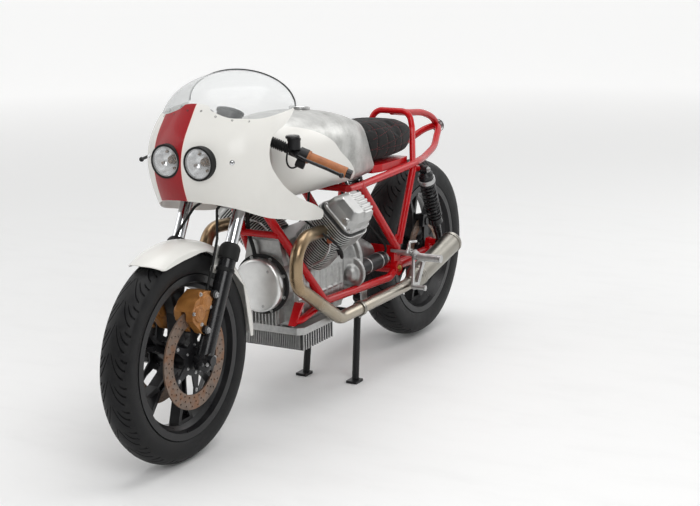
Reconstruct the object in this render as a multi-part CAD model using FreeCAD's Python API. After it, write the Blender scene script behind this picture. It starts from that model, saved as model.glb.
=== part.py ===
import FreeCAD, Part
import math
import os

from FreeCAD import Vector

os.makedirs("parts", exist_ok=True)

# Axes: +Z up, -Y to the front, +X to the rider's left
# The origin is on the floor, halfway along the machine. All lengths are in millimetres

# Steering head: the middle of the head tube is the fixed point of the front end
HEAD_Y = -446.5
HEAD_Z = 798.2
RAKE_DEG = 27.5
RAKE = math.radians(RAKE_DEG)
FORK_HALF = 95.0
FORK_OFFSET = 55.0
STANCHION_R = 19.0
SLIDER_R = 25.5
STEM_R = 15.0
HEAD_HALF = 66.0

# Wheels: each tyre radius is the rim radius and the height of the tyre's section
RIM_R = 244.0
BEAD_R = RIM_R - 13.0
FRONT_SECTION = 74.0
REAR_SECTION = 86.0
FRONT_TYRE_R = RIM_R + FRONT_SECTION
REAR_TYRE_R = RIM_R + REAR_SECTION
FRONT_TYRE_HALF = 52.0
REAR_TYRE_HALF = 62.0
FRONT_DISC_R = 150.0
REAR_DISC_R = 121.0
AXLE_R = 10.0
RUN_GAP = 0.05

# Swingarm pivot: the rear wheel sits a tyre radius and a small gap behind it
PIVOT_Y = 388.0
PIVOT_Z = 346.0
PIVOT_R = 20.0
TYRE_GAP = 8.5
STAND_LIFT = 8.0

FRONT_AXLE_Z = FRONT_TYRE_R
FORK_DROP = (HEAD_Z + FORK_OFFSET * math.sin(RAKE) - FRONT_AXLE_Z) / math.cos(RAKE)
FRONT_AXLE_Y = HEAD_Y - FORK_DROP * math.sin(RAKE) - FORK_OFFSET * math.cos(RAKE)
REAR_AXLE_Z = REAR_TYRE_R + STAND_LIFT
REAR_AXLE_Y = PIVOT_Y + PIVOT_R + TYRE_GAP + REAR_TYRE_R

# Frame tubes
RAIL_R = 14.0
SPINE_R = 25.0
SEAT_RAIL_R = 12.5
HOOP_R = 11.0
LOOP_R = 12.5

# Engine
CRANK_Z = 427.0
CYLINDER_Y = {1: -112.0, -1: -92.0}
FIN_PITCH = 8.0
FIN_THICK = 2.6

# Silencers and header pipes
HEADER_R = 21.0
MUFFLER_R = 38.0

# Centre stand
STAND_PIVOT_Y = 165.0
STAND_PIVOT_Z = 288.0
STAND_FOOT_Y = 128.0


def box(x0, x1, y0, y1, z0, z1):
    return Part.makeBox(x1 - x0, y1 - y0, z1 - z0, Vector(x0, y0, z0))


def rod(p, q, r):
    p = Vector(*p)
    q = Vector(*q)
    return Part.makeCylinder(r, (q - p).Length, p, q - p)


def ring(p, q, outer, inner):
    return rod(p, q, outer).cut(rod(p, q, inner))


def mirrored(shape):
    return shape.mirror(Vector(0, 0, 0), Vector(1, 0, 0))


def biggest(shape):
    return max(shape.Solids, key=lambda s: s.Volume)


def fuse_all(shapes):
    joined = shapes[0].multiFuse(shapes[1:])
    merged = joined.removeSplitter()
    return merged if merged.isValid() else joined


def path_wire(points, bend):
    """Straight runs joined by tangent arcs of one bend radius."""
    pts = [Vector(*p) for p in points]
    edges = []
    start = pts[0]
    for before, corner, after in zip(pts, pts[1:], pts[2:]):
        u = (before - corner).normalize()
        w = (after - corner).normalize()
        half = math.acos(max(-1.0, min(1.0, u.dot(w)))) / 2
        reach = bend / math.tan(half)
        first = corner + u * reach
        last = corner + w * reach
        centre = corner + (u + w).normalize() * (bend / math.sin(half))
        middle = centre + (corner - centre).normalize() * bend
        edges.append(Part.makeLine(start, first))
        edges.append(Part.Arc(first, middle, last).toShape())
        start = last
    edges.append(Part.makeLine(start, pts[-1]))
    return Part.Wire(edges)


def pipe(points, r, bend=40.0):
    """Round bar or tube filled solid, swept along a bent path."""
    if len(points) == 2:
        return rod(points[0], points[1], r)
    wire = path_wire(points, bend)
    p = Vector(*points[0])
    circle = Part.Wire(Part.makeCircle(r, p, Vector(*points[1]) - p))
    return wire.makePipeShell([circle], True, False)


def smooth_pipe(points, r):
    """Round tube filled solid, swept along one flowing curve through the points."""
    curve = Part.BSplineCurve()
    curve.interpolate([Vector(*p) for p in points])
    wire = Part.Wire(curve.toShape())
    start, ahead = curve.value(curve.FirstParameter), curve.tangent(curve.FirstParameter)[0]
    circle = Part.Wire(Part.makeCircle(r, start, ahead))
    return wire.makePipeShell([circle], True, False)


def rounded(half_x, half_y, z, r):
    """Closed rectangle with round corners, lying level."""
    corners = [(1, 1), (-1, 1), (-1, -1), (1, -1)]
    edges = []
    last = None
    first = None
    for i, (sx, sy) in enumerate(corners):
        c = Vector(sx * (half_x - r), sy * (half_y - r), z)
        a0 = math.radians(90 * i)
        turns = [a0 + k * math.pi / 4 for k in range(3)]
        pts = [c + Vector(math.cos(a), math.sin(a), 0) * r for a in turns]
        if last is None:
            first = pts[0]
        else:
            edges.append(Part.makeLine(last, pts[0]))
        edges.append(Part.Arc(pts[0], pts[1], pts[2]).toShape())
        last = pts[2]
    edges.append(Part.makeLine(last, first))
    return Part.Wire(edges)


def block(half_x, half_y, z0, z1, r):
    """Upright block with round corners."""
    return Part.Face(rounded(half_x, half_y, z0, r)).extrude(Vector(0, 0, z1 - z0))


def lathe(profile, origin, axis=(1, 0, 0)):
    """Turned solid: profile points are distance along the axis and radius."""
    o = Vector(*origin)
    a = Vector(*axis).normalize()
    side = Vector(0, 0, 1) if abs(a.z) < 0.9 else Vector(0, 1, 0)
    u = a.cross(side).normalize()
    pts = [o + a * s + u * r for s, r in profile]
    return Part.Face(Part.makePolygon(pts + [pts[0]])).revolve(o, a, 360)


def plate(points, axis, low, high):
    """Flat outline raised along X, Y or Z between two levels."""
    order = {"x": (2, 0, 1), "y": (0, 2, 1), "z": (0, 1, 2)}[axis]
    pts = []
    for a, b in points:
        raw = (a, b, low)
        pts.append(Vector(raw[order[0]], raw[order[1]], raw[order[2]]))
    reach = high - low
    lift = {"x": Vector(reach, 0, 0), "y": Vector(0, reach, 0), "z": Vector(0, 0, reach)}[axis]
    return Part.Face(Part.makePolygon(pts + [pts[0]])).extrude(lift)


def oval(half_w, low, high, y, power=2.6, low_power=None, taper=0.0, count=28):
    """Closed superellipse section standing across the machine. It may be squarer below and narrower above."""
    mid = (low + high) / 2
    half_h = (high - low) / 2
    pts = []
    for i in range(count):
        t = 2 * math.pi * (i + 0.5) / count
        c = math.cos(t)
        s = math.sin(t)
        p = low_power if low_power and s < 0 else power
        z = mid + half_h * math.copysign(abs(s) ** (2 / p), s)
        x = half_w * math.copysign(abs(c) ** (2 / p), c) * (1 - taper * (z - low) / (high - low))
        pts.append(Vector(x, y, z))
    curve = Part.BSplineCurve()
    curve.interpolate(pts, PeriodicFlag=True)
    return Part.Wire(curve.toShape())


def save(name, solids):
    if not isinstance(solids, (list, tuple)):
        solids = [solids]
    flat = []
    for shape in solids:
        flat.extend(shape.Solids)
    for solid in flat:
        if not solid.isValid() or solid.Volume <= 0:
            raise RuntimeError("bad solid in " + name)
    shape = flat[0] if len(flat) == 1 else Part.makeCompound(flat)
    shape.exportStep("parts/" + name + ".step")
    b = shape.BoundBox
    edges = [round(v) for v in (b.XMin, b.XMax, b.YMin, b.YMax, b.ZMin, b.ZMax)]
    print(name, len(flat), edges)


# Points of the fork are given by side, distance up the tube and distance behind it
UP = Vector(0, math.sin(RAKE), math.cos(RAKE))
BACK = Vector(0, math.cos(RAKE), -math.sin(RAKE))


def fork_point(x, s, back=0.0):
    """Distances up the tube are counted from the front axle."""
    p = Vector(x, FRONT_AXLE_Y, FRONT_AXLE_Z) + UP * s + BACK * back
    return (p.x, p.y, p.z)


def crown_point(x, h, back=0.0):
    """The same tube, with distances counted from the middle of the steering head."""
    return fork_point(x, FORK_DROP + h, back)


def head_point(h):
    p = Vector(0, HEAD_Y, HEAD_Z) + UP * h
    return (p.x, p.y, p.z)


def raked(shape):
    """Turns a piece drawn upright about the origin into line with the fork, at the front axle."""
    s = shape.copy()
    s.rotate(Vector(0, 0, 0), Vector(1, 0, 0), -RAKE_DEG)
    s.translate(Vector(0, FRONT_AXLE_Y, FRONT_AXLE_Z))
    return s


def with_head(shape):
    """Carries a piece drawn round the head at its usual place along with the head."""
    s = shape.copy()
    s.translate(Vector(0, HEAD_Y + 446.5, HEAD_Z - 798.2))
    return s


# Tyres: a closed ring of rubber seated on the rim
def tyre(axle_y, axle_z, tyre_r, half):
    c = Vector(0, axle_y, axle_z)

    def at(x, r):
        return c + Vector(x, 0, r)

    seat = half - 10
    shoulder = half - 6
    drop = tyre_r - 20
    side_mid = (RIM_R + drop) / 2
    edges = [
        Part.makeLine(at(-seat, BEAD_R), at(seat, BEAD_R)),
        Part.makeLine(at(seat, BEAD_R), at(seat, RIM_R)),
        Part.makeLine(at(seat, RIM_R), at(shoulder - 0.5, RIM_R + 3)),
        Part.Arc(at(shoulder - 0.5, RIM_R + 3), at(half, side_mid + 2), at(shoulder, drop)).toShape(),
        Part.Arc(at(shoulder, drop), at(0, tyre_r), at(-shoulder, drop)).toShape(),
        Part.Arc(at(-shoulder, drop), at(-half, side_mid + 2), at(0.5 - shoulder, RIM_R + 3)).toShape(),
        Part.makeLine(at(0.5 - shoulder, RIM_R + 3), at(-seat, RIM_R)),
        Part.makeLine(at(-seat, RIM_R), at(-seat, BEAD_R)),
    ]
    return Part.Face(Part.Wire(edges)).revolve(c, Vector(1, 0, 0), 360)


def wheel(axle_y, axle_z, half, hub_half, hub_r):
    """Cast wheel: rim, hub and six hollow-sided spokes that fork towards the rim."""
    origin = (0, axle_y, axle_z)
    seat = half - 10
    rim = lathe([(-seat - 5, RIM_R - 22), (-seat - 5, RIM_R - 1), (-seat, RIM_R), (-seat, BEAD_R),
                 (seat, BEAD_R), (seat, RIM_R), (seat + 5, RIM_R - 1), (seat + 5, RIM_R - 22),
                 (seat - 12, RIM_R - 28), (18, RIM_R - 40), (-18, RIM_R - 40),
                 (12 - seat, RIM_R - 28)], origin)
    hub = lathe([(-hub_half, 0), (-hub_half, hub_r - 6), (-24, hub_r), (24, hub_r), (hub_half, hub_r - 6),
                 (hub_half, 0)], origin)
    fork = RIM_R - 112
    blank = plate([(-28, 16), (-15, 78), (-15, fork), (-40, RIM_R - 34), (40, RIM_R - 34), (15, fork),
                   (15, 78), (28, 16)], "x", -17, 17)
    pocket = [(-8, 66), (-8, fork), (8, fork), (8, 66)]
    blank = blank.cut(plate(pocket, "x", 6, 18)).cut(plate(pocket, "x", -18, -6))
    blank = blank.cut(plate([(-22, RIM_R - 52), (22, RIM_R - 52), (0, fork + 6)], "x", -20, 20))
    parts = [rim, hub]
    for i in range(6):
        spoke = blank.copy()
        spoke.rotate(Vector(0, 0, 0), Vector(1, 0, 0), 60 * i + 2)
        spoke.translate(Vector(*origin))
        parts.append(spoke)
    bore = rod((-hub_half - 1, axle_y, axle_z), (hub_half + 1, axle_y, axle_z), AXLE_R + RUN_GAP)
    body = fuse_all(parts)
    return body.cut(bore)


def brake_disc(axle_y, axle_z, x0, x1, outer, inner, hub_r, holes):
    """Drilled disc blade on a six-armed carrier."""
    low = min(x0, x1)
    high = max(x0, x1)
    blade = ring((low, axle_y, axle_z), (high, axle_y, axle_z), outer, inner)
    drills = []
    for row in range(3):
        r = inner + 9 + row * (outer - inner - 18) / 2
        for i in range(holes):
            t = 2 * math.pi * (i + row / 3) / holes
            y = axle_y + r * math.cos(t)
            z = axle_z + r * math.sin(t)
            drills.append(rod((low - 1, y, z), (high + 1, y, z), 3.0))
    blade = blade.cut(Part.makeCompound(drills))
    carrier = ring((low, axle_y, axle_z), (high, axle_y, axle_z), hub_r + 18, hub_r)
    arms = []
    for i in range(6):
        arm = plate([(-17, hub_r + 6), (-9, inner - 20), (-12, inner + 2), (12, inner + 2), (9, inner - 20),
                     (17, hub_r + 6)], "x", low, high)
        arm.rotate(Vector(0, 0, 0), Vector(1, 0, 0), 60 * i)
        arm.translate(Vector(0, axle_y, axle_z))
        arms.append(arm)
    return fuse_all([blade, carrier] + arms)


save("front_tyre", tyre(FRONT_AXLE_Y, FRONT_AXLE_Z, FRONT_TYRE_R, FRONT_TYRE_HALF))
save("rear_tyre", tyre(REAR_AXLE_Y, REAR_AXLE_Z, REAR_TYRE_R, REAR_TYRE_HALF))
DISC_X = FORK_HALF - SLIDER_R - 5.0
save("front_rim", wheel(FRONT_AXLE_Y, FRONT_AXLE_Z, FRONT_TYRE_HALF, DISC_X + 1, 38))
save("rear_rim", wheel(REAR_AXLE_Y, REAR_AXLE_Z, REAR_TYRE_HALF, 56, 46))
disc = brake_disc(FRONT_AXLE_Y, FRONT_AXLE_Z, DISC_X - 5, DISC_X, FRONT_DISC_R, FRONT_DISC_R - 44, 33, 30)
save("front_discs", [disc, mirrored(disc)])
save("rear_disc", brake_disc(REAR_AXLE_Y, REAR_AXLE_Z, 50, 55, REAR_DISC_R, REAR_DISC_R - 37, 42, 24))

# Front axle, fork tubes and sliders
def front_rod(x0, x1, r):
    return rod((x0, FRONT_AXLE_Y, FRONT_AXLE_Z), (x1, FRONT_AXLE_Y, FRONT_AXLE_Z), r)


front_axle = [front_rod(-122, 122, AXLE_R)]
for side in (1, -1):
    front_axle.append(front_rod(side * 119.5, side * 128, 15))
    front_axle.append(front_rod(side * (DISC_X + 1.3), side * 80, 14))
front_axle = fuse_all(front_axle)
save("front_axle", front_axle)

LUG_LOW = 82.0
LUG_HIGH = 188.0
stanchion = rod(fork_point(FORK_HALF, 290), crown_point(FORK_HALF, 146), STANCHION_R)
leg = lathe([(-34, 0), (-34, 18), (-22, SLIDER_R), (262, SLIDER_R), (265, 27), (272, 27), (275, SLIDER_R),
             (302, SLIDER_R), (304, 29), (338, 29), (346, 25), (346, 0)],
            fork_point(FORK_HALF, 0), (UP.x, UP.y, UP.z))
slider = [leg, front_rod(80, 119.5, 24)]
for s in (LUG_LOW, LUG_HIGH):
    slider.append(raked(rod((88, -36, s), (106, -36, s), 12)))
    slider.append(raked(box(88, 106, -36, 0, s - 11, s + 11)))
slider = fuse_all(slider)
slider = slider.cut(rod(fork_point(FORK_HALF, 290), fork_point(FORK_HALF, 400), STANCHION_R)).cut(front_axle)
slider = biggest(slider)
sliders = [slider, mirrored(slider)]
save("fork_tubes", [stanchion, mirrored(stanchion)])
save("fork_sliders", sliders)


def yoke(h0, h1, grip_r, stem_r, waist):
    """Plate that clamps both fork tubes to the steering stem."""
    parts = []
    turn = math.degrees(math.atan2(FORK_OFFSET * 0.72, FORK_HALF))
    for side in (1, -1):
        x = side * FORK_HALF
        parts.append(rod(crown_point(x, h0), crown_point(x, h1), grip_r))
        arm = Part.makeBox(FORK_HALF, waist, h1 - h0, Vector(0, 0, 0))
        arm.translate(Vector(0, -waist / 2, 0))
        arm.rotate(Vector(0, 0, 0), Vector(0, 0, 1), -turn)
        arm.rotate(Vector(0, 0, 0), Vector(1, 0, 0), -RAKE_DEG)
        arm.translate(Vector(*crown_point(0, h0, FORK_OFFSET * 0.72)))
        parts.append(arm if side > 0 else mirrored(arm))
    parts.append(rod(head_point(h0), head_point(h1), stem_r))
    body = fuse_all(parts)
    for side in (1, -1):
        x = side * FORK_HALF
        body = body.cut(rod(crown_point(x, h0 - 5), crown_point(x, h1 + 5), STANCHION_R))
    return body


bearing = rod(head_point(30), head_point(130), STEM_R)
lower_yoke = yoke(-HEAD_HALF - 30, -HEAD_HALF - 4, 29, 30, 46)
lower_yoke = fuse_all([lower_yoke, rod(head_point(-HEAD_HALF - 24), head_point(94), STEM_R)])
upper_yoke = yoke(HEAD_HALF + 4, HEAD_HALF + 24, 27, 26, 40).cut(bearing)
stem_nut = rod(head_point(90), head_point(102), 19).cut(rod(head_point(30), head_point(94), STEM_R))
save("lower_yoke", lower_yoke)
save("upper_yoke", fuse_all([upper_yoke, stem_nut]))

# Clip-on bars, grips, levers and switch housings
CLIP_ON_H = 114.0
BAR_ROOT = Vector(*crown_point(FORK_HALF, CLIP_ON_H))
BAR_TIP = BAR_ROOT + Vector(255, 91.7, -109.7)
BAR_DIR = (BAR_TIP - BAR_ROOT).normalize()
BAR_LEN = (BAR_TIP - BAR_ROOT).Length
BAR_AHEAD = Vector(0, 0, 1).cross(BAR_DIR).normalize() * -1
if BAR_AHEAD.y > 0:
    BAR_AHEAD = BAR_AHEAD * -1


def on_bar(t, ahead=0.0, up=0.0):
    lift = BAR_DIR.cross(BAR_AHEAD).normalize()
    if lift.z < 0:
        lift = lift * -1
    p = BAR_ROOT + BAR_DIR * t + BAR_AHEAD * ahead + lift * up
    return (p.x, p.y, p.z)


GRIP_START = BAR_LEN - 122
clamp = ring(crown_point(FORK_HALF, CLIP_ON_H - 16), crown_point(FORK_HALF, CLIP_ON_H + 16), 27, STANCHION_R)
bar = rod(on_bar(22), on_bar(BAR_LEN), 11)
bar = bar.cut(rod(crown_point(FORK_HALF, CLIP_ON_H - 90), crown_point(FORK_HALF, CLIP_ON_H + 90), 24))
clip_on = fuse_all([clamp, bar])
save("clip_ons", [clip_on, mirrored(clip_on)])
grip = ring(on_bar(GRIP_START), on_bar(BAR_LEN - 4), 16.5, 11)
flange = ring(on_bar(GRIP_START - 6), on_bar(GRIP_START), 20, 11)
grip = fuse_all([grip, flange])
end_cap = rod(on_bar(BAR_LEN - 4), on_bar(BAR_LEN + 12), 14).cut(rod(on_bar(0), on_bar(BAR_LEN), 11))
save("grips", [grip, mirrored(grip)])
save("bar_ends", [end_cap, mirrored(end_cap)])
perch = ring(on_bar(GRIP_START - 62), on_bar(GRIP_START - 32), 17, 11)
perch = fuse_all([perch, rod(on_bar(GRIP_START - 50, 14), on_bar(GRIP_START - 30, 40), 9),
                  ring(on_bar(GRIP_START - 33), on_bar(GRIP_START - 7), 21, 11)])
blade = pipe([on_bar(GRIP_START - 30, 40), on_bar(GRIP_START - 4, 52), on_bar(GRIP_START + 60, 50),
              on_bar(GRIP_START + 112, 58)], 5, 30)
lever = fuse_all([blade, Part.makeSphere(8, Vector(*on_bar(GRIP_START + 112, 58)))])
perch = biggest(perch.cut(rod(on_bar(22), on_bar(BAR_LEN), 11)).cut(lever))
save("switch_housings", [perch, mirrored(perch)])
save("levers", [lever, mirrored(lever)])
pot_low = Vector(*on_bar(GRIP_START - 50, 18, 10))
pot = fuse_all([Part.makeCylinder(19, 26, pot_low), Part.makeCylinder(20.5, 6, pot_low + Vector(0, 0, 26))])
pot = biggest(pot.cut(perch).cut(bar))
save("fluid_reservoirs", [pot, mirrored(pot)])

# Brake calipers straddle the discs ahead of the fork legs, with a bulge over each piston
side_view = [(-12, 70), (-42, 68), (-98, 88), (-112, 112), (-108, 144), (-76, 186), (-34, 198), (-10, 198),
             (-14, 176), (-30, 168), (-30, 98), (-14, 92)]
caliper = plate(side_view, "x", 32, 96)
for back, up, r in [(-82, 118, 25), (-60, 156, 23)]:
    caliper = fuse_all([caliper, rod((26, back, up), (103, back, up), r)])
gap = ring((DISC_X - 10.2, 0, 0), (DISC_X + 5.2, 0, 0), FRONT_DISC_R + 6, 1)
gap = gap.cut(box(0, 120, -200, 200, -200, 0))
caliper = raked(caliper.cut(gap).cut(box(20, 75, -30, 20, 60, 190)))
caliper = biggest(caliper.cut(slider))
save("front_calipers", [caliper, mirrored(caliper)])

# Hose from each caliper up the leg to the lower yoke
hose = pipe([fork_point(84, 194, -52), fork_point(84, 262, -52), fork_point(72, 350, -44),
             fork_point(40, 440, -34), fork_point(30, FORK_DROP - HEAD_HALF - 17, 14)], 4, 22)
hose = biggest(hose.cut(caliper).cut(lower_yoke).cut(slider))
save("brake_hoses", [hose, mirrored(hose)])


# Front mudguard: a curved blade round the tyre with stays down to the fork legs
GUARD_R = 340.0
GUARD_HALF = 62.0
GUARD_T = 2.5


def guard_section(radius, half, skirt):
    c = Vector(0, FRONT_AXLE_Y, FRONT_AXLE_Z)
    pts = [(-half, radius - 26), (-0.72 * half, radius - 9), (0, radius), (0.72 * half, radius - 9),
           (half, radius - 26)]
    curve = Part.BSplineCurve()
    curve.interpolate([c + Vector(x, 0, r) for x, r in pts])
    edges = [
        Part.makeLine(c + Vector(-half, 0, skirt), c + Vector(-half, 0, radius - 26)),
        curve.toShape(),
        Part.makeLine(c + Vector(half, 0, radius - 26), c + Vector(half, 0, skirt)),
        Part.makeLine(c + Vector(half, 0, skirt), c + Vector(-half, 0, skirt)),
    ]
    return Part.Face(Part.Wire(edges))


def around_axle(shape, degrees):
    """Swings a piece drawn straight above the axle forward round it."""
    s = shape.copy()
    s.rotate(Vector(0, 0, 0), Vector(1, 0, 0), degrees)
    s.translate(Vector(0, FRONT_AXLE_Y, FRONT_AXLE_Z))
    return s


def fender():
    c = Vector(0, FRONT_AXLE_Y, FRONT_AXLE_Z)
    outside = guard_section(GUARD_R, GUARD_HALF, GUARD_R - 54)
    inside = guard_section(GUARD_R - GUARD_T, GUARD_HALF - GUARD_T, GUARD_R - 60)
    blade = outside.cut(inside)
    blade.rotate(c, Vector(1, 0, 0), 28)
    blade = blade.revolve(c, Vector(1, 0, 0), -120)
    # The skirts are trimmed along a line that dips ahead of the fork and rises behind it
    below = GUARD_R - 340
    trim = []
    for deg, r in [(-34, 336), (-28, 326), (-22, 308), (-15, 301), (-6, 298), (2, 299), (9, 306), (15, 311),
                   (30, 313), (60, 312), (94, 303)]:
        a = math.radians(deg)
        trim.append((FRONT_AXLE_Y + (r + below) * math.sin(a), FRONT_AXLE_Z + (r + below) * math.cos(a)))
    trim.extend([(FRONT_AXLE_Y + 100, FRONT_AXLE_Z - 10), (FRONT_AXLE_Y - 50, FRONT_AXLE_Z + 80)])
    blade = blade.cut(plate(trim, "x", -80, 80))
    # The nose is rounded when seen from above
    nose = box(-90, 90, -90, 0, GUARD_R - 80, GUARD_R + 30)
    tip = Part.Ellipse(Vector(0, 0, GUARD_R - 90), 66, 38).toShape()
    tip = Part.Face(Part.Wire(tip)).extrude(Vector(0, 0, 140))
    return blade.cut(around_axle(nose.cut(tip), 21))


guard = [fender()]
for side in (1, -1):
    guard.append(raked(box(min(side * 59.5, side * 63), max(side * 59.5, side * 63), -24, 6, 256, 336)))
    guard.append(raked(rod((side * 60, -8, 272), (side * 80, -8, 272), 9)))
guard = fuse_all(guard)
for other in sliders:
    guard = guard.cut(other)
for other in (hose, mirrored(hose)):
    guard = guard.cut(other)
save("front_fender", biggest(guard))

# Steering head and spine
HEAD_CORE = rod(head_point(-120), head_point(130), 29)
head_tube = ring(head_point(-HEAD_HALF - 1), head_point(HEAD_HALF), 30, STEM_R + RUN_GAP)
spine_low = (0, 200, 715)
spine = rod((0, HEAD_Y, HEAD_Z), spine_low, SPINE_R)
RAIL_CROSS_Y = 104.0
RAIL_CROSS_Z = 674.0
rail_cross = rod((-121, RAIL_CROSS_Y, RAIL_CROSS_Z), (121, RAIL_CROSS_Y, RAIL_CROSS_Z), 12.5)
riser = box(-16, 16, RAIL_CROSS_Y - 16, RAIL_CROSS_Y + 16, RAIL_CROSS_Z, 716)
spine_body = fuse_all([spine, riser, rail_cross]).cut(HEAD_CORE)
save("frame_spine", fuse_all([head_tube, biggest(spine_body)]))

# Cradle tubes on each side of the engine, with the boss of the swingarm pivot
cradle = pipe([(24, HEAD_Y + 6.5, HEAD_Z + 13.8), (60, -326, 644), (112, -94, 338), (120, PIVOT_Y - 48, 321),
               (124, PIVOT_Y, PIVOT_Z)], RAIL_R, 30)
cradle = cradle.cut(HEAD_CORE).cut(head_tube).cut(spine)
cradle = biggest(cradle)
boss = rod((112, PIVOT_Y, PIVOT_Z), (136, PIVOT_Y, PIVOT_Z), 26)
boss = boss.cut(rod((129, PIVOT_Y, PIVOT_Z), (137, PIVOT_Y, PIVOT_Z), 14))
side_plate = plate([(PIVOT_Y - 22, PIVOT_Z - 6), (PIVOT_Y + 24, PIVOT_Z - 6), (PIVOT_Y + 30, 430),
                    (PIVOT_Y + 18, 462), (PIVOT_Y - 16, 446)], "x", 114, 126)
upright = rod((124, PIVOT_Y - 2, 422), (120, 140, 682), RAIL_R)
rear_strut = rod((125, PIVOT_Y + 18, 430), (138, 496, 690), SEAT_RAIL_R)
foot_tube = pipe([(112, -96, 336), (104, -226, 307), (88, -254, 304)], 12, 16)
foot = plate([(74, 292), (98, 292), (132, 372), (100, 372)], "y", -262, -250.3)
cradle = fuse_all([cradle, boss, side_plate, upright, rear_strut, foot_tube, foot]).cut(rail_cross)
cradle = biggest(cradle)
save("frame_cradle_left", cradle)
save("frame_cradle_right", mirrored(cradle))
cradles = [cradle, mirrored(cradle)]

# Cross members: a tube ahead of the engine and a plate above the swingarm pivot
members = []
front_tube = rod((-70, -302, 592), (70, -302, 592), 11)
pivot_plate = box(-120, 120, PIVOT_Y - 12, PIVOT_Y + 4, 386, 424)
for piece in (front_tube, pivot_plate):
    for other in cradles:
        piece = piece.cut(other)
    members.append(biggest(piece))
save("frame_cross_members", members)

# Seat rails and the cage of tubes at the tail
seat_rail = pipe([(119, 62, 680), (120, 145, 680), (138, 500, 700)], SEAT_RAIL_R, 60)
seat_rail = biggest(seat_rail.cut(rail_cross).cut(cradle))
rails = [seat_rail, mirrored(seat_rail)]
save("seat_rails", rails)


def both_sides(points):
    """The points of one side, the point on the middle plane and the same side mirrored."""
    return points + [(-x, y, z) for x, y, z in reversed(points[:-1])]


# An arch behind the seat, a loop from rail to rail round the tail, and a spine from the arch's top to its end
TAIL_END = (0, 962, 767)
arch = pipe([(134, 500, 700), (86, 592, 812), (70, 602, 868),
             (-70, 602, 868), (-86, 592, 812), (-134, 500, 700)], HOOP_R, 42)
tail_loop = smooth_pipe(both_sides([(136, 498, 700), (124, 578, 701), (110, 632, 700), (88, 727, 706),
                                    (62, 825, 720), (43, 880, 741), (22, 936, 761), TAIL_END]), LOOP_R)
tail_spine = smooth_pipe([(0, 602, 865), (0, 668, 855), (0, 729, 846), (0, 782, 840), (0, 835, 833),
                          (0, 885, 820), (0, 930, 802), (0, 958, 781)], LOOP_R)
hoop = fuse_all([arch, tail_loop, tail_spine])
for other in rails + cradles:
    hoop = hoop.cut(other)
hoop = biggest(hoop)
save("tail_hoop", hoop)
lamp = lathe([(0, 0), (0, 15), (16, 17), (22, 14), (24, 8), (24, 0)],
             (0, TAIL_END[1] + LOOP_R + 0.2, TAIL_END[2] - 2), (0, 1, 0.1))
save("tail_lamp", lamp)

# Fuel tank: sections from the steering head back to the seat, hollowed under the middle for the spine
# Each section: place, half width, bottom, top, squareness of its upper and lower half, narrowing at the top
TANK = [(-368, 100, 768, 926, 2.2, 2.2, 0), (-335, 132, 716, 944, 2.4, 2.4, 0),
        (-250, 156, 696, 957, 2.6, 2.6, 0), (-100, 166, 693, 956, 2.7, 2.7, 0.02),
        (40, 159, 692, 939, 2.9, 3.0, 0.06), (150, 142, 694, 910, 3.4, 3.8, 0.17),
        (225, 122, 697, 887, 4.2, 5.0, 0.27), (310, 106, 700, 862, 4.4, 6.0, 0.3)]
tank = Part.makeLoft([oval(w, lo, hi, y, p, q, k) for y, w, lo, hi, p, q, k in TANK], True, False)
# The back of the tank leans forward, and the seat starts there
SEAM_LOW = (283, 680)
SEAM_HIGH = (206, 920)
SEAM_GAP = 0.3
tank = tank.cut(plate([SEAM_LOW, (400, 680), (400, 920), SEAM_HIGH], "x", -200, 200))
tunnel = plate([(-470, 600), (240, 600), (240, 748), (-470, 842)], "x", -36, 36)
tank = tank.cut(tunnel)
for other in rails:
    tank = tank.cut(other)
tank = biggest(tank)
save("fuel_tank", tank)
cap = lathe([(0, 0), (0, 34), (7, 34), (10, 30), (10, 24), (8, 24), (8, 0)], (0, -40, 951), (0, 0.13, 1))
save("fuel_cap", biggest(cap.cut(tank)))

# Seat cushion on its tray. Its back edge leans with the arch of the tail
TRAY_LOW = 701.0
SEAT = [(196, 90, 732, 874, 3.2), (260, 106, 728, 868, 3.4), (340, 118, 727, 862, 3.6),
        (420, 120, 726, 858, 3.6), (490, 117, 727, 853, 3.5), (550, 107, 733, 844, 3.3),
        (610, 88, 750, 828, 3.0)]
seat = Part.makeLoft([oval(w, lo, hi, y, p) for y, w, lo, hi, p in SEAT], True, False)
ahead_of_seam = [(SEAM_LOW[0] + SEAM_GAP, SEAM_LOW[1]), (SEAM_HIGH[0] + SEAM_GAP, SEAM_HIGH[1]),
                 (100, 920), (100, 680)]
behind_arch = [(480, 690), (590, 838), (600, 900), (720, 900), (720, 690)]
for outline in (ahead_of_seam, behind_arch):
    seat = seat.cut(plate(outline, "x", -160, 160))
seat = biggest(seat.cut(hoop))
save("seat_pad", seat)
tray = plate([(-104, 255), (104, 255), (119, 300), (124, 420),
              (116, 492), (-116, 492), (-124, 420), (-119, 300)], "z", TRAY_LOW, TRAY_LOW + 26)
for other in rails + cradles + [tank, seat, hoop, spine]:
    tray = tray.cut(other)
save("seat_tray", biggest(tray))

# Engine: crankcase, bell housing, timing cover and alternator cover on one centre line
case = plate([(-84, 285), (84, 285), (96, 330), (96, 440), (58, 562), (-58, 562), (-96, 440), (-96, 330)],
             "y", -250, 66)
bell = lathe([(0, 0), (0, 84), (52, 116), (52, 132), (70, 132), (70, 0)], (0, 64, CRANK_Z), (0, 1, 0))
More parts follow.
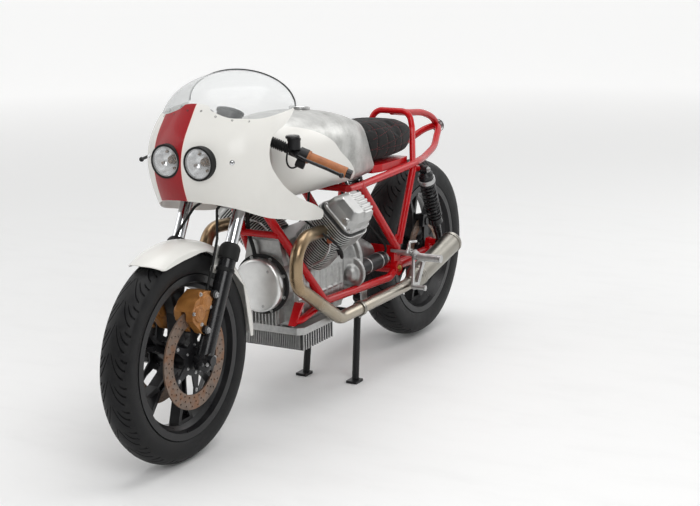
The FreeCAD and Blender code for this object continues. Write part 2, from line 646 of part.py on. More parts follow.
# A domed cover stands on the left of the bell housing ahead of the starter
STARTER_X = 96.0
STARTER_Z = 387.0
dome = lathe([(0, 0), (6, 22), (16, 32), (30, 36), (31, 54), (44, 54), (44, 0)],
             (STARTER_X, 74, STARTER_Z), (0, 1, 0))
crankcase = fuse_all([case, bell, dome])
timing = [rod((0, -290, CRANK_Z), (0, -250, CRANK_Z), 96), box(-56, 56, -282, -250, 300, 420),
          plate([(-84, 440), (84, 440), (58, 566), (-58, 566)], "y", -276, -250)]
for i in range(8):
    rim_bolt = math.radians(22.5 + 45 * i)
    x = 90 * math.cos(rim_bolt)
    z = CRANK_Z + 90 * math.sin(rim_bolt)
    timing.append(rod((x, -296, z), (x, -286, z), 5.5))
for i in range(9):
    timing.append(box(-54 + i * 12.5, -50 + i * 12.5, -292, -280, 296, 352))
timing = fuse_all(timing)
alternator = lathe([(0, 0), (0, 78), (4, 78), (4, 74), (24, 74), (31, 66), (34, 40), (34, 0)],
                   (0, -290, CRANK_Z), (0, -1, 0))
timing = timing.cut(alternator)
gearbox_end = PIVOT_Y - PIVOT_R - 16
gearbox = Part.makeLoft([oval(108, 312, 540, 134, 3.0), oval(72, 318, 500, 226, 3.2),
                         oval(60, 322, 440, gearbox_end, 3.0)], True, False)
gearbox = gearbox.cut(rod((STARTER_X, 100, STARTER_Z), (STARTER_X, 400, STARTER_Z), 29))
for other in cradles + members:
    crankcase = crankcase.cut(other)
    timing = timing.cut(other)
    gearbox = gearbox.cut(other)
crankcase = biggest(crankcase)
gearbox = biggest(gearbox)
timing = biggest(timing)
save("crankcase", crankcase)
save("timing_cover", timing)
save("alternator_cover", alternator)
save("gearbox", gearbox)

# Finned sump under its joint flange
sump = plate([(-236, 262), (-50, 262), (-62, 214), (-222, 210)], "x", -104, 104)
flange = plate([(-104, -258), (104, -258), (122, -240), (122, -40), (106, -24), (-106, -24), (-122, -40),
                (-122, -240)], "z", 262, 285)
sump_parts = [sump, flange]
for i in range(9):
    x = -108 + i * 5 if i < 5 else 88 + (i - 5) * 5
    sump_parts.append(box(x, x + 2.4, -244, -200, 212, 263))
for i in range(13):
    y = -238 + i * 15.2
    sump_parts.append(box(-116, 116, y, y + 5, 208, 263))
sump = fuse_all(sump_parts)
save("sump", sump)

# Cylinders lean out at 45 degrees; every part is built upright and turned into place
LEAN = 45.0
COVER_TOP = 354.0


def lean(shape, side):
    s = shape.copy()
    s.rotate(Vector(0, 0, 0), Vector(0, 1, 0), side * LEAN)
    s.translate(Vector(0, CYLINDER_Y[side], CRANK_Z))
    return s


def hipped_roof(swell):
    """Rocker cover body whose sides lean in towards a narrow top, swollen outward by a margin."""
    levels = [(61, 66, 298, 24), (57, 63, 328, 22), (36, 54, COVER_TOP + swell, 14)]
    return Part.makeLoft([rounded(x + swell, y + swell, z, r) for x, y, z, r in levels], True, True)


cylinders = []
heads = []
covers = []
for side in (1, -1):
    barrel = [rod((0, 0, 80), (0, 0, 218), 52)]
    for i in range(14):
        z = 104 + i * FIN_PITCH
        barrel.append(block(70, 76, z, z + FIN_THICK, 52))
    barrel = lean(fuse_all(barrel), side).cut(crankcase)
    for other in cradles:
        barrel = barrel.cut(other)
    cylinders.append(biggest(barrel))
    top = [block(58, 62, 218, 288, 20)]
    for i in range(8):
        z = 222 + i * FIN_PITCH
        top.append(block(75, 80, z, z + FIN_THICK, 42))
    top.append(block(66, 70, 280, 288, 26))
    # Plug boss on the lower side, between the fins
    top.append(rod((20, -20, 232), (64, -34, 214), 12))
    heads.append(biggest(lean(fuse_all(top), side).cut(cylinders[-1])))
    # Rocker cover: a hipped roof with ridges along its back half and a round plug on its front slope
    base = block(66, 70, 288, 298, 26)
    hood = hipped_roof(0)
    crest = hipped_roof(3)
    ridges = [box(x - 4, x + 4, -2, 72, 306, COVER_TOP + 4).common(crest) for x in range(-45, 46, 15)]
    plug = rod((30, -52, 318), (30, -68, 314), 10)
    covers.append(lean(fuse_all([base, hood, plug] + ridges), side))
save("cylinders", cylinders)
save("cylinder_heads", heads)
save("rocker_covers", covers)

# Carburettors behind the heads
carbs = []
for side in (1, -1):
    y0 = CYLINDER_Y[side] + 62
    low_x = min(side * 114, side * 156)
    carb = fuse_all([rod((side * 150, y0, 604), (side * 118, y0 + 100, 606), 23),
                     box(low_x, low_x + 42, y0 + 34, y0 + 78, 560, 620),
                     rod((side * 135, y0 + 56, 540), (side * 135, y0 + 56, 570), 17),
                     rod((side * 133, y0 + 54, 600), (side * 133, y0 + 54, 642), 20)])
    for other in heads + covers + cradles + cylinders:
        carb = carb.cut(other)
    carbs.append(biggest(carb))
save("carburettors", carbs)

# Starter motor beside the gearbox
starter = rod((STARTER_X, 118, STARTER_Z), (STARTER_X, 326, STARTER_Z), 28)
starter = fuse_all([starter, rod((STARTER_X, 326, STARTER_Z), (STARTER_X, 342, STARTER_Z), 24)])
starter = starter.cut(gearbox).cut(cradle).cut(crankcase)
save("starter_motor", biggest(starter))

# Exhaust: each header leaves its head, turns down ahead of the engine and runs back under it
MUFFLER_START = Vector(165, 406, 290)
MUFFLER_DIR = Vector(0.10, 1, 0.33).normalize()
MUFFLER_LONG = 314.0


def on_muffler(t):
    p = MUFFLER_START + MUFFLER_DIR * t
    return (p.x, p.y, p.z)


headers = []
for side in (1, -1):
    port_y = CYLINDER_Y[side] - 50
    path = [(160, port_y, 590), (173, -362, 600), (162, -352, 450),
            (150, -62, 277), (152, 350, 280), on_muffler(0)]
    header = pipe(path, HEADER_R, 76)
    end = pipe([on_muffler(0), on_muffler(26)], HEADER_R)
    band = ring((150, 66, 277.5), (150, 80, 277.5), HEADER_R + 3, HEADER_R - 3)
    nut = ring((162, port_y - 22, 591), (161, port_y - 8, 590.5), HEADER_R + 7, HEADER_R - 3)
    header = fuse_all([header, end, band, nut])
    if side < 0:
        header = mirrored(header)
    for other in heads + cylinders:
        header = header.cut(other)
    headers.append(biggest(header))
silencer = [(2, 21), (2, 24), (12, 25), (44, MUFFLER_R), (52, MUFFLER_R), (54, MUFFLER_R + 1.5),
            (62, MUFFLER_R + 1.5), (64, MUFFLER_R), (MUFFLER_LONG - 16, MUFFLER_R),
            (MUFFLER_LONG - 8, MUFFLER_R + 2),
            (MUFFLER_LONG, MUFFLER_R - 2), (MUFFLER_LONG, 20), (MUFFLER_LONG - 60, 17), (20, 17), (20, 21)]
muffler = lathe(silencer, on_muffler(0), (MUFFLER_DIR.x, MUFFLER_DIR.y, MUFFLER_DIR.z))
muffler = biggest(muffler.cut(headers[0]))
save("exhaust_headers", headers)
save("mufflers", [muffler, mirrored(muffler)])

# Swingarm and shaft drive
def rear_rod(x0, x1, r):
    return rod((x0, REAR_AXLE_Y, REAR_AXLE_Z), (x1, REAR_AXLE_Y, REAR_AXLE_Z), r)


pivot_tube = rod((-112, PIVOT_Y, PIVOT_Z), (112, PIVOT_Y, PIVOT_Z), PIVOT_R)
left_arm = pipe([(92, PIVOT_Y, PIVOT_Z), (92, PIVOT_Y + 132, PIVOT_Z - 6),
                 (92, REAR_AXLE_Y - 4, REAR_AXLE_Z)],
                21, 200)
shaft_tube = rod((-99, PIVOT_Y, PIVOT_Z), (-99, REAR_AXLE_Y - 46, REAR_AXLE_Z + 1), 29)
drive_box = lathe([(0, 0), (0, 72), (16, 82), (38, 82), (54, 58), (58, 30), (58, 0)],
                  (-66, REAR_AXLE_Y, REAR_AXLE_Z), (-1, 0, 0))
drive_parts = [drive_box]
for i in range(8):
    t = math.radians(45 * i + 10)
    y = REAR_AXLE_Y + 68 * math.cos(t)
    z = REAR_AXLE_Z + 68 * math.sin(t)
    drive_parts.append(rod((-96, y, z), (-110, y, z), 6))
rear_axle = fuse_all([rear_rod(-132, 118, AXLE_R), rear_rod(112, 122, 16), rear_rod(60, 72, 15)])
drive = biggest(fuse_all(drive_parts).cut(rear_axle))
arms = fuse_all([pivot_tube, left_arm, rear_rod(72, 112, 32), shaft_tube]).cut(drive).cut(rear_axle)
for other in cradles:
    arms = arms.cut(other)
arms = biggest(arms)
save("swingarm", arms)
save("final_drive", drive)
save("rear_axle", rear_axle)

# Rear shock absorbers
SHOCK_TOP = (152, 556, 672)
SHOCK_LOW = (138, REAR_AXLE_Y - 34.5, REAR_AXLE_Z + 38)
shocks = []
springs = []
for side in (1, -1):
    top = Vector(side * SHOCK_TOP[0], SHOCK_TOP[1], SHOCK_TOP[2])
    low = Vector(side * SHOCK_LOW[0], SHOCK_LOW[1], SHOCK_LOW[2])
    d = (low - top).normalize()
    length = (low - top).Length
    eye_top = rod((side * 138, top.y, top.z), (side * 166, top.y, top.z), 15)
    eye_low = rod((side * 125, low.y, low.z), (side * 151, low.y, low.z), 14)
    core = lathe([(11, 0), (11, 14), (22, 27), (52, 27), (56, 12), (180, 12), (216, 12), (218, 25), (240, 26),
                  (252, 16), (length - 11, 11), (length - 11, 0)], (top.x, top.y, top.z), (d.x, d.y, d.z))
    core = fuse_all([core, eye_top, eye_low])
    shocks.append(core)
    coils = [(56.3, 12.2)]
    for i in range(9):
        t = 58 + i * 17.2
        coils.extend([(t, 24), (t + 3, 29), (t + 9, 29), (t + 12, 24)])
    coils.extend([(214, 24), (214, 12.2)])
    springs.append(lathe(coils, (top.x, top.y, top.z), (d.x, d.y, d.z)))
shock_mounts = []
for side in (1, -1):
    upper = fuse_all([rod((side * 122, 556, 672), (side * 138, 556, 672), 11),
                      pipe([(side * 138, 496, 692), (side * 130, 556, 672)], 11)])
    for other in rails + cradles + [hoop] + shocks:
        upper = upper.cut(other)
    shock_mounts.append(biggest(upper))
    lower = rod((side * 90, SHOCK_LOW[1], SHOCK_LOW[2]), (side * 125, SHOCK_LOW[1], SHOCK_LOW[2]), 10)
    if side > 0:
        ay = REAR_AXLE_Y
        az = REAR_AXLE_Z
        lug = plate([(ay - 56, az), (ay - 12, az), (ay - 22, az + 50), (ay - 46, az + 50)], "x", 84, 100)
        lower = fuse_all([lower, lug])
    for other in [arms, drive, rear_axle] + shocks:
        lower = lower.cut(other)
    shock_mounts.append(biggest(lower))
save("shock_bodies", shocks)
save("shock_springs", springs)
save("shock_mounts", shock_mounts)

# Rear brake caliper above the axle
rear_caliper = plate([(REAR_AXLE_Y - 54, REAR_AXLE_Z + 92), (REAR_AXLE_Y + 18, REAR_AXLE_Z + 92),
                      (REAR_AXLE_Y + 12, REAR_AXLE_Z + 130), (REAR_AXLE_Y - 44, REAR_AXLE_Z + 136)],
                     "x", 38, 76)
rear_caliper = fuse_all([rear_caliper, rod((34, REAR_AXLE_Y - 18, REAR_AXLE_Z + 108),
                                          (80, REAR_AXLE_Y - 18, REAR_AXLE_Z + 108), 16)])
rear_caliper = rear_caliper.cut(ring((44.8, REAR_AXLE_Y, REAR_AXLE_Z), (60.2, REAR_AXLE_Y, REAR_AXLE_Z),
                                     REAR_DISC_R + 6, 1))
bracket = plate([(REAR_AXLE_Y - 34, REAR_AXLE_Z - 8), (REAR_AXLE_Y + 6, REAR_AXLE_Z - 8),
                 (REAR_AXLE_Y + 2, REAR_AXLE_Z + 102), (REAR_AXLE_Y - 30, REAR_AXLE_Z + 102)], "x", 64, 71)
rear_caliper = fuse_all([rear_caliper, bracket]).cut(arms).cut(rear_axle)
save("rear_caliper", biggest(rear_caliper))

# Footrests: a three-cornered bracket with an open middle, a long round rest above and a short one below
rearset = plate([(348, 290), (368, 280), (396, 280), (448, 362), (444, 380), (376, 422), (358, 416)],
                "x", 201, 208)
rearset = rearset.cut(plate([(369, 400), (427, 365), (388, 304), (363, 306)], "x", 190, 220))
upper_peg = fuse_all([rod((204, 381, 396), (296, 381, 396), 12), rod((296, 381, 396), (302, 381, 396), 14)])
lower_peg = fuse_all([rod((204, 357, 293), (252, 357, 293), 8), rod((250, 357, 293), (254, 357, 293), 10)])
stubs = [rod((124, 402, 398), (204, 402, 398), 8), rod((116, 366, 412), (204, 366, 412), 6)]
linkage = pipe([(186, 352, 410), (186, 372, 448), (186, 420, 440)], 5, 8)
linkage = fuse_all([linkage, rod((178, 366, 412), (196, 366, 412), 13),
                    rod((186, 360, 404), (186, 366, 440), 6)])
rearset = fuse_all([rearset, upper_peg, lower_peg, linkage] + stubs)
for other in [cradle, muffler, headers[0], shocks[0], springs[0], arms] + members:
    rearset = rearset.cut(other)
rearset = biggest(rearset)
save("rearsets", [rearset, mirrored(rearset)])

# Centre stand, down: two legs, a cross bar and flat feet
stand_parts = []
hangers = []
for side in (1, -1):
    pivot_in = (side * 80, STAND_PIVOT_Y, STAND_PIVOT_Z)
    stand_parts.append(rod((side * 92, STAND_PIVOT_Y, STAND_PIVOT_Z), (side * 98, STAND_FOOT_Y, 8), 12))
    low_x = min(side * 80, side * 120)
    stand_parts.append(box(low_x, low_x + 40, STAND_FOOT_Y - 34, STAND_FOOT_Y + 14, 0, 9))
    stand_parts.append(rod(pivot_in, (side * 104, STAND_PIVOT_Y, STAND_PIVOT_Z), 15))
    pin = rod((side * 76, STAND_PIVOT_Y, STAND_PIVOT_Z), (side * 118, STAND_PIVOT_Y, STAND_PIVOT_Z), 8)
    cheek_x = min(side * 110, side * 118)
    cheek = plate([(145, 322), (185, 322), (180, 276), (150, 276)], "x", cheek_x, cheek_x + 8)
    hanger = fuse_all([pin, cheek])
    for other in cradles:
        hanger = hanger.cut(other)
    hangers.append(biggest(hanger))
stand_parts.append(rod((-93, STAND_PIVOT_Y - 7, 236), (93, STAND_PIVOT_Y - 7, 236), 11))
stand = fuse_all(stand_parts)
stand = stand.cut(rod((-200, STAND_PIVOT_Y, STAND_PIVOT_Z), (200, STAND_PIVOT_Y, STAND_PIVOT_Z), 8 + RUN_GAP))
save("centre_stand", stand)
save("stand_pivots", hangers)

# Half fairing: a shell wrapped around the head, trimmed by its side outline
NOSE = [(610, -600), (660, -628), (700, -646), (760, -674), (820, -694), (880, -698), (940, -678),
        (1000, -636), (1045, -596)]
WIDTH = [(610, 184), (660, 194), (700, 202), (760, 208), (820, 210), (880, 210), (940, 206),
         (1000, 192), (1045, 176)]
NOSE_DEPTH = 190.0
FAIRING_T = 3.0
FAIRING_END = -205.0


def sample(table, z):
    for (z0, v0), (z1, v1) in zip(table, table[1:]):
        if z <= z1:
            return v0 + (v1 - v0) * (z - z0) / (z1 - z0)
    return table[-1][1]


def fairing_section(z, inset):
    """Points of one level of the wrap, from the right rear round the nose to the left rear."""
    nose = sample(NOSE, z) + inset
    w = sample(WIDTH, z) - inset
    depth = NOSE_DEPTH - inset
    pts = []
    side_run = 5
    for i in range(side_run):
        y = FAIRING_END + (nose + depth - FAIRING_END) * i / side_run
        pts.append(Vector(-w, y, z))
    steps = 16
    for i in range(steps + 1):
        t = math.pi * i / steps
        c = math.cos(t)
        s = math.sin(t)
        x = -w * math.copysign(abs(c) ** (2 / 2.2), c)
        y = nose + depth - depth * abs(s) ** (2 / 2.2)
        pts.append(Vector(x, y, z))
    for i in range(side_run - 1, -1, -1):
        y = FAIRING_END + (nose + depth - FAIRING_END) * i / side_run
        pts.append(Vector(w, y, z))
    return pts


def wrap_solid(inset):
    levels = [610, 660, 700, 760, 820, 880, 940, 1000, 1045]
    surface = Part.BSplineSurface()
    surface.interpolate([fairing_section(z, inset) for z in levels])
    skin = surface.toShape()
    low_w = sample(WIDTH, 610) - inset
    low = Part.makeLine(Vector(-low_w, FAIRING_END, 610), Vector(low_w, FAIRING_END, 610))
    faces = [skin]
    edges = skin.Edges
    flat = {}
    for e in edges:
        b = e.BoundBox
        if b.ZMax - b.ZMin < 1:
            flat["low" if b.ZMin < 700 else "high"] = e
        elif b.XMax < 0:
            flat["right"] = e
        else:
            flat["left"] = e
    top_z = 1045
    high = Part.makeLine(Vector(-sample(WIDTH, top_z) + inset, FAIRING_END, top_z),
                         Vector(sample(WIDTH, top_z) - inset, FAIRING_END, top_z))
    faces.append(Part.Face(Part.Wire(Part.__sortEdges__([flat["low"], low]))))
    faces.append(Part.Face(Part.Wire(Part.__sortEdges__([flat["high"], high]))))
    faces.append(Part.Face(Part.Wire(Part.__sortEdges__([flat["left"], low, flat["right"], high]))))
    shell = Part.makeShell(faces)
    shell.sewShape()
    solid = Part.makeSolid(shell)
    if solid.Volume < 0:
        solid.reverse()
    return solid


outer = wrap_solid(0.0)
inner = wrap_solid(FAIRING_T)
TOP_CUT = [(-620, 1046), (-609, 1032), (-617, 1018), (-613, 1002), (-592, 996.5), (-556, 993), (-502, 996),
           (-453, 1000), (-389, 1006)]
REAR_CUT = [(-385, 1002), (-410, 987), (-439, 973), (-470, 961), (-503, 952), (-530, 938), (-546, 912),
            (-551, 890), (-548, 866), (-535, 841), (-513, 817), (-481, 788), (-441, 763), (-400, 741),
            (-365, 726), (-322, 710), (-285, 695), (-254, 680), (-234, 666), (-230, 653), (-255, 645)]
LOW_CUT = [(-402, 670), (-475, 687), (-532, 700), (-576, 716), (-611, 733), (-637, 745), (-657, 753),
           (-680, 762), (-760, 790)]


def spline_through(points, x):
    curve = Part.BSplineCurve()
    curve.interpolate([Vector(x, y, z) for y, z in points])
    return curve.toShape()


outline_edges = [spline_through(TOP_CUT, -300),
                 Part.makeLine(Vector(-300, -389, 1006), Vector(-300, -385, 1002)),
                 spline_through(REAR_CUT, -300), spline_through([REAR_CUT[-1]] + LOW_CUT, -300),
                 Part.makeLine(Vector(-300, -760, 790), Vector(-300, -760, 1046)),
                 Part.makeLine(Vector(-300, -760, 1046), Vector(-300, -620, 1046))]
side_face = Part.Face(Part.Wire(outline_edges))
side_block = side_face.extrude(Vector(600, 0, 0))
fairing = outer.cut(inner).common(side_block)
LAMP_X = 57.0
LAMP_Z = 876.0
LAMP_R = 50.0
for side in (1, -1):
    fairing = fairing.cut(rod((side * LAMP_X, -760, LAMP_Z), (side * LAMP_X, -600, LAMP_Z), LAMP_R))
fairing = with_head(biggest(fairing))
save("fairing", fairing)

lamps = []
rims = []
for side in (1, -1):
    x = side * LAMP_X
    lamps.append(lathe([(0, 0), (0, 30), (30, 44), (44, 44), (50, 30), (52, 0)],
                       (x, -648, LAMP_Z), (0, -1, 0)))
    rims.append(ring((x, -640, LAMP_Z), (x, -698, LAMP_Z), LAMP_R, 44))
save("headlamps", [with_head(s) for s in lamps])
save("headlamp_rims", [with_head(s) for s in rims])


# Screen: a clear bubble from the fairing's top edge back to an arched rear edge
SCREEN_T = 3.0
SCREEN_FOOT = [(189, -389, 1006), (192, -453, 1000), (186, -502, 996), (167, -556, 993), (136, -592, 996),
               (96, -613, 1002), (46, -618, 1015), (0, -613, 1026)]
ARCH_Y = -376.0
ARCH_HALF = 190.0
ARCH_LOW = 1010.0
ARCH_RISE = 101.0


def bent_sheet(grid, thickness):
    """Solid sheet between a grid of points and the same grid moved inward along its normals."""
    rows = len(grid)
    cols = len(grid[0])
    moved = []
    for i in range(rows):
        line = []
        for j in range(cols):
            du = grid[min(i + 1, rows - 1)][j] - grid[max(i - 1, 0)][j]
            dv = grid[i][min(j + 1, cols - 1)] - grid[i][max(j - 1, 0)]
            n = du.cross(dv).normalize()
            line.append(grid[i][j] + n * thickness)
        moved.append(line)
    faces = []
    borders = []
    for points in (grid, moved):
        surface = Part.BSplineSurface()
        surface.interpolate(points)
        faces.append(surface.toShape())
        borders.append([surface.uIso(surface.bounds()[0]), surface.uIso(surface.bounds()[1]),
                        surface.vIso(surface.bounds()[2]), surface.vIso(surface.bounds()[3])])
    for one, two in zip(borders[0], borders[1]):
        faces.append(Part.makeRuledSurface(one.toShape(), two.toShape()))
    shell = Part.makeShell(faces)
    shell.sewShape()
    solid = Part.makeSolid(shell)
    if solid.Volume < 0:
        solid.reverse()
    return solid


def screen_grid():
    half = [Vector(*p) for p in SCREEN_FOOT]
    feet = half + [Vector(-p.x, p.y, p.z) for p in reversed(half[:-1])]
    count = len(feet)
    grid = []
    for i, foot in enumerate(feet):
        t = math.pi * i / (count - 1)
        front = math.sin(t) ** 3
        top = Vector(ARCH_HALF * math.cos(t), ARCH_Y, ARCH_LOW + ARCH_RISE * math.sin(t))
        foot = foot + Vector(0, -5.0 * front, -8.0)
        reach = (top - foot).Length
        rise = Vector(-0.25 * math.cos(t), 0.15 + 0.6 * front, 1.0 - 0.25 * front).normalize()
        one = foot + rise * (0.36 * reach)
        two = top + Vector(0, -0.40 * reach, 0)
        line = []
        for j in range(7):
            k = j / 6
            far = 1 - k
            line.append(foot * far ** 3 + one * (3 * k * far ** 2) + two * (3 * k * k * far) + top * k ** 3)
        grid.append(line)
    return grid


screen = bent_sheet(screen_grid(), SCREEN_T).cut(side_block)
save("windscreen", with_head(biggest(screen)))

# Instruments and the stay that carries lamps and fairing from the steering head
CLOCK_X = 54.0
CLOCK_Y = -537.0
CLOCK_BASE_Z = 968.0
clocks = []
for side in (1, -1):
    clock = lathe([(0, 0), (0, 34), (8, 38), (34, 38), (36, 41), (42, 41), (42, 36), (39, 35), (39, 0)],
                  (side * CLOCK_X, CLOCK_Y, CLOCK_BASE_Z), (0, 0.5, 1))
    clocks.append(with_head(clock))
save("instruments", clocks)
stay = [pipe([(0, -460, 790), (0, -600, 800), (0, -612, 862)], 9, 20),
        rod((-110, -612, 858), (110, -612, 858), 8)]
for side in (1, -1):
    stay.append(rod((side * 110, -612, 858), (side * 214, -560, 858), 8))
    stay.append(rod((side * 66, -612, 860), (side * CLOCK_X, CLOCK_Y + 8, CLOCK_BASE_Z + 10), 6))
stay = with_head(fuse_all(stay))
stay = stay.cut(fairing).cut(rod(head_point(-170), head_point(130), 30))
for other in clocks:
    stay = stay.cut(other)
save("fairing_stay", biggest(stay))
print("done")
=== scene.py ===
import math

import bmesh
import bpy
from mathutils import Matrix, Vector
from mathutils.bvhtree import BVHTree
from mathutils.kdtree import KDTree


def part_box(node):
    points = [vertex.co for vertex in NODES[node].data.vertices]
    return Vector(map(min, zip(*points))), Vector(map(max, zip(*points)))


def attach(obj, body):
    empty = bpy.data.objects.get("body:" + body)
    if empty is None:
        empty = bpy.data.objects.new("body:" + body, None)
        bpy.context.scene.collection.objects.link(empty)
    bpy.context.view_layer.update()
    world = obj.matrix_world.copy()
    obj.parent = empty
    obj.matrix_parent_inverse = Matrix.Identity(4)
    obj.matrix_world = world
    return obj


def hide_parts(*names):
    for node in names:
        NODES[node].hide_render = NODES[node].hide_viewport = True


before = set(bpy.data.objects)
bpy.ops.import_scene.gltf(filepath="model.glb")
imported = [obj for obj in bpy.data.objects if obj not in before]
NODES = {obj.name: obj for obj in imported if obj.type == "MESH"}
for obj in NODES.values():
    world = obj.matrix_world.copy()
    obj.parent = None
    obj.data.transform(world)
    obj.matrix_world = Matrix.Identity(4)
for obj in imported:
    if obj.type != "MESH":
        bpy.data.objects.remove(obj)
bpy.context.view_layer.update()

bl_info = {
    "name": "Cafe racer looks",
    "version": (1, 0, 0),
    "blender": (4, 5, 0),
    "location": "View3D > Sidebar > Motorcycle",
    "description": "Dresses the packed motorcycle frame with tread, springs, seat, lamps, bolts and finishes",
    "category": "Object",
}

MM = 0.001


LEFT = Vector((1, 0, 0))
FRONT = Vector((0, -1, 0))
UP = Vector((0, 0, 1))


# Places in the row frame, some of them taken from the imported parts
def middle(node):
    low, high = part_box(node)
    return (low + high) / 2


def axle_of(tyre):
    low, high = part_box(tyre)
    return Vector((0, (low.y + high.y) / 2, (low.z + high.z) / 2))


FRONT_AXLE = axle_of("front_tyre")
REAR_AXLE = axle_of("rear_tyre")
BEAD_R = 0.244
RAKE = math.radians(27.5)
UP_FORK = Vector((0, math.sin(RAKE), math.cos(RAKE)))
BACK_FORK = Vector((0, math.cos(RAKE), -math.sin(RAKE)))


def fork_place(x, up, back=0.0):
    """A point by side, distance up the fork from the front axle and distance behind it, in millimetres."""
    return Vector((x * MM, FRONT_AXLE.y, FRONT_AXLE.z)) + UP_FORK * (up * MM) + BACK_FORK * (back * MM)


def place(x, y, z):
    """A point of the row frame given in millimetres."""
    return Vector((x, y, z)) * MM


def round_x(degrees, r, x):
    """A place on a circle round the X axis, in millimetres; the next two go round Y and Z."""
    return place(x, r * math.cos(math.radians(degrees)), r * math.sin(math.radians(degrees)))


def round_y(degrees, r, y):
    return place(r * math.cos(math.radians(degrees)), y, r * math.sin(math.radians(degrees)))


def round_z(degrees, r, z):
    return place(r * math.cos(math.radians(degrees)), r * math.sin(math.radians(degrees)), z)


CRANK_Z = 427.0
CYLINDER_Y = {1: -112.0, -1: -92.0}
LEAN = math.sqrt(0.5)


def on_cylinder(side, u, v, h):
    """A point of a leaning cylinder: across it, along the machine and up its axis, in millimetres."""
    return place(LEAN * (u + side * h), CYLINDER_Y[side] + v, CRANK_Z + LEAN * (h - side * u))


BAR_ROOT = place(95.0, -442.7, 924.7)
BAR_DIR = place(255.0, 91.7, -109.7).normalized()
BAR_AHEAD = -UP.cross(BAR_DIR).normalized()
if BAR_AHEAD.y > 0:
    BAR_AHEAD = -BAR_AHEAD
BAR_UP = BAR_DIR.cross(BAR_AHEAD).normalized()
if BAR_UP.z < 0:
    BAR_UP = -BAR_UP


def on_bar(side, t, ahead=0.0, up=0.0):
    """A point of a handlebar: distance along it from the fork tube, ahead of it and above it."""
    p = BAR_ROOT + (BAR_DIR * t + BAR_AHEAD * ahead + BAR_UP * up) * MM
    return Vector((side * p.x, p.y, p.z))


def bar_axis(side):
    return Vector((side * BAR_DIR.x, BAR_DIR.y, BAR_DIR.z))


# Materials
class Wiring:
    """A node tree in the making."""

    def __init__(self, tree):
        self.tree = tree

    def node(self, kind, **settings):
        made = self.tree.nodes.new(kind)
        for key, value in settings.items():
            setattr(made, key, value)
        return made

    def feed(self, value, socket):
        """Links an output to a socket, or sets the socket to a number or a colour."""
        if isinstance(value, bpy.types.NodeSocket):
            self.tree.links.new(value, socket)
        elif socket.type == "RGBA":
            socket.default_value = (*value, 1.0)
        else:
            socket.default_value = value

    def coords(self, stretch=(1, 1, 1), turn=(0, 0, 0)):
        """Object coordinates, which are the row frame's metres, stretched or turned."""
        shift = self.node("ShaderNodeMapping")
        shift.inputs["Scale"].default_value = stretch
        shift.inputs["Rotation"].default_value = turn
        self.feed(self.node("ShaderNodeTexCoord").outputs["Object"], shift.inputs["Vector"])
        return shift.outputs["Vector"]

    def axes(self):
        """The object coordinates one by one."""
        split = self.node("ShaderNodeSeparateXYZ")
        self.feed(self.coords(), split.inputs["Vector"])
        return split.outputs["X"], split.outputs["Y"], split.outputs["Z"]

    def noise(self, scale, detail=4.0, rough=0.55, stretch=(1, 1, 1), turn=(0, 0, 0)):
        made = self.node("ShaderNodeTexNoise")
        made.inputs["Scale"].default_value = scale
        made.inputs["Detail"].default_value = detail
        made.inputs["Roughness"].default_value = rough
        self.feed(self.coords(stretch, turn), made.inputs["Vector"])
        return made.outputs["Fac"]

    def ramp(self, fac, *stops):
        """Colour ramp whose stops are place and colour."""
        made = self.node("ShaderNodeValToRGB")
        band = made.color_ramp
        while len(band.elements) < len(stops):
            band.elements.new(0.5)
        for element, (at, colour) in zip(band.elements, stops):
            element.position = at
            element.color = (*colour, 1.0)
        self.feed(fac, made.inputs["Fac"])
        return made.outputs["Color"]

    def span(self, value, low, high, to_low=0.0, to_high=1.0):
        """A range of values mapped to another and held at its ends."""
        made = self.node("ShaderNodeMapRange")
        ends = {"From Min": low, "From Max": high, "To Min": to_low, "To Max": to_high}
        for socket, number in ends.items():
            made.inputs[socket].default_value = number
        self.feed(value, made.inputs["Value"])
        return made.outputs["Result"]

    def drift(self, value, low, high):
        """The middle of a noise spread over a range."""
        return self.span(value, 0.3, 0.7, low, high)

    def math(self, operation, first, second=None):
        made = self.node("ShaderNodeMath", operation=operation)
        self.feed(first, made.inputs[0])
        if second is not None:
            self.feed(second, made.inputs[1])
        return made.outputs["Value"]

    def plus(self, first, second):
        return self.math("ADD", first, second)

    def minus(self, first, second):
        return self.math("SUBTRACT", first, second)

    def times(self, first, second):
        return self.math("MULTIPLY", first, second)

    def size(self, value):
        return self.math("ABSOLUTE", value)

    def distance(self, first, second):
        """Length of the sides' hypotenuse."""
        return self.math("SQRT", self.plus(self.times(first, first), self.times(second, second)))

    def mix(self, fac, first, second, blend="MIX"):
        made = self.node("ShaderNodeMix", data_type="RGBA", blend_type=blend)
        colours = [s for s in made.inputs if s.type == "RGBA"]
        self.feed(fac, made.inputs["Factor"])
        self.feed(first, colours[0])
        self.feed(second, colours[1])
        return [s for s in made.outputs if s.type == "RGBA"][0]


class Surface(Wiring):
    """A procedural material in the making: its node tree and the sockets of its shader."""

    def __init__(self, name):
        self.made = bpy.data.materials.new(name)
        self.made.use_nodes = True
        super().__init__(self.made.node_tree)
        self.shader = self.tree.nodes["Principled BSDF"].inputs

    def set(self, **values):
        """Feeds shader sockets named in small letters with underscores."""
        for name, value in values.items():
            socket = [s for s in self.shader if s.name.lower().replace(" ", "_") == name][0]
            self.feed(value, socket)

    def bump(self, height, relief):
        """Surface relief; its depth is in millimetres."""
        made = self.node("ShaderNodeBump")
        made.inputs["Distance"].default_value = relief * MM
        made.inputs["Strength"].default_value = 1.0
        self.feed(height, made.inputs["Height"])
        self.feed(made.outputs["Normal"], self.shader["Normal"])

    def radius_about(self, axle):
        """Distance from a wheel's axle."""
        _, y, z = self.axes()
        return self.distance(self.minus(y, axle.y), self.minus(z, axle.z))


def scaled(colour, share):
    return tuple(value * share for value in colour)


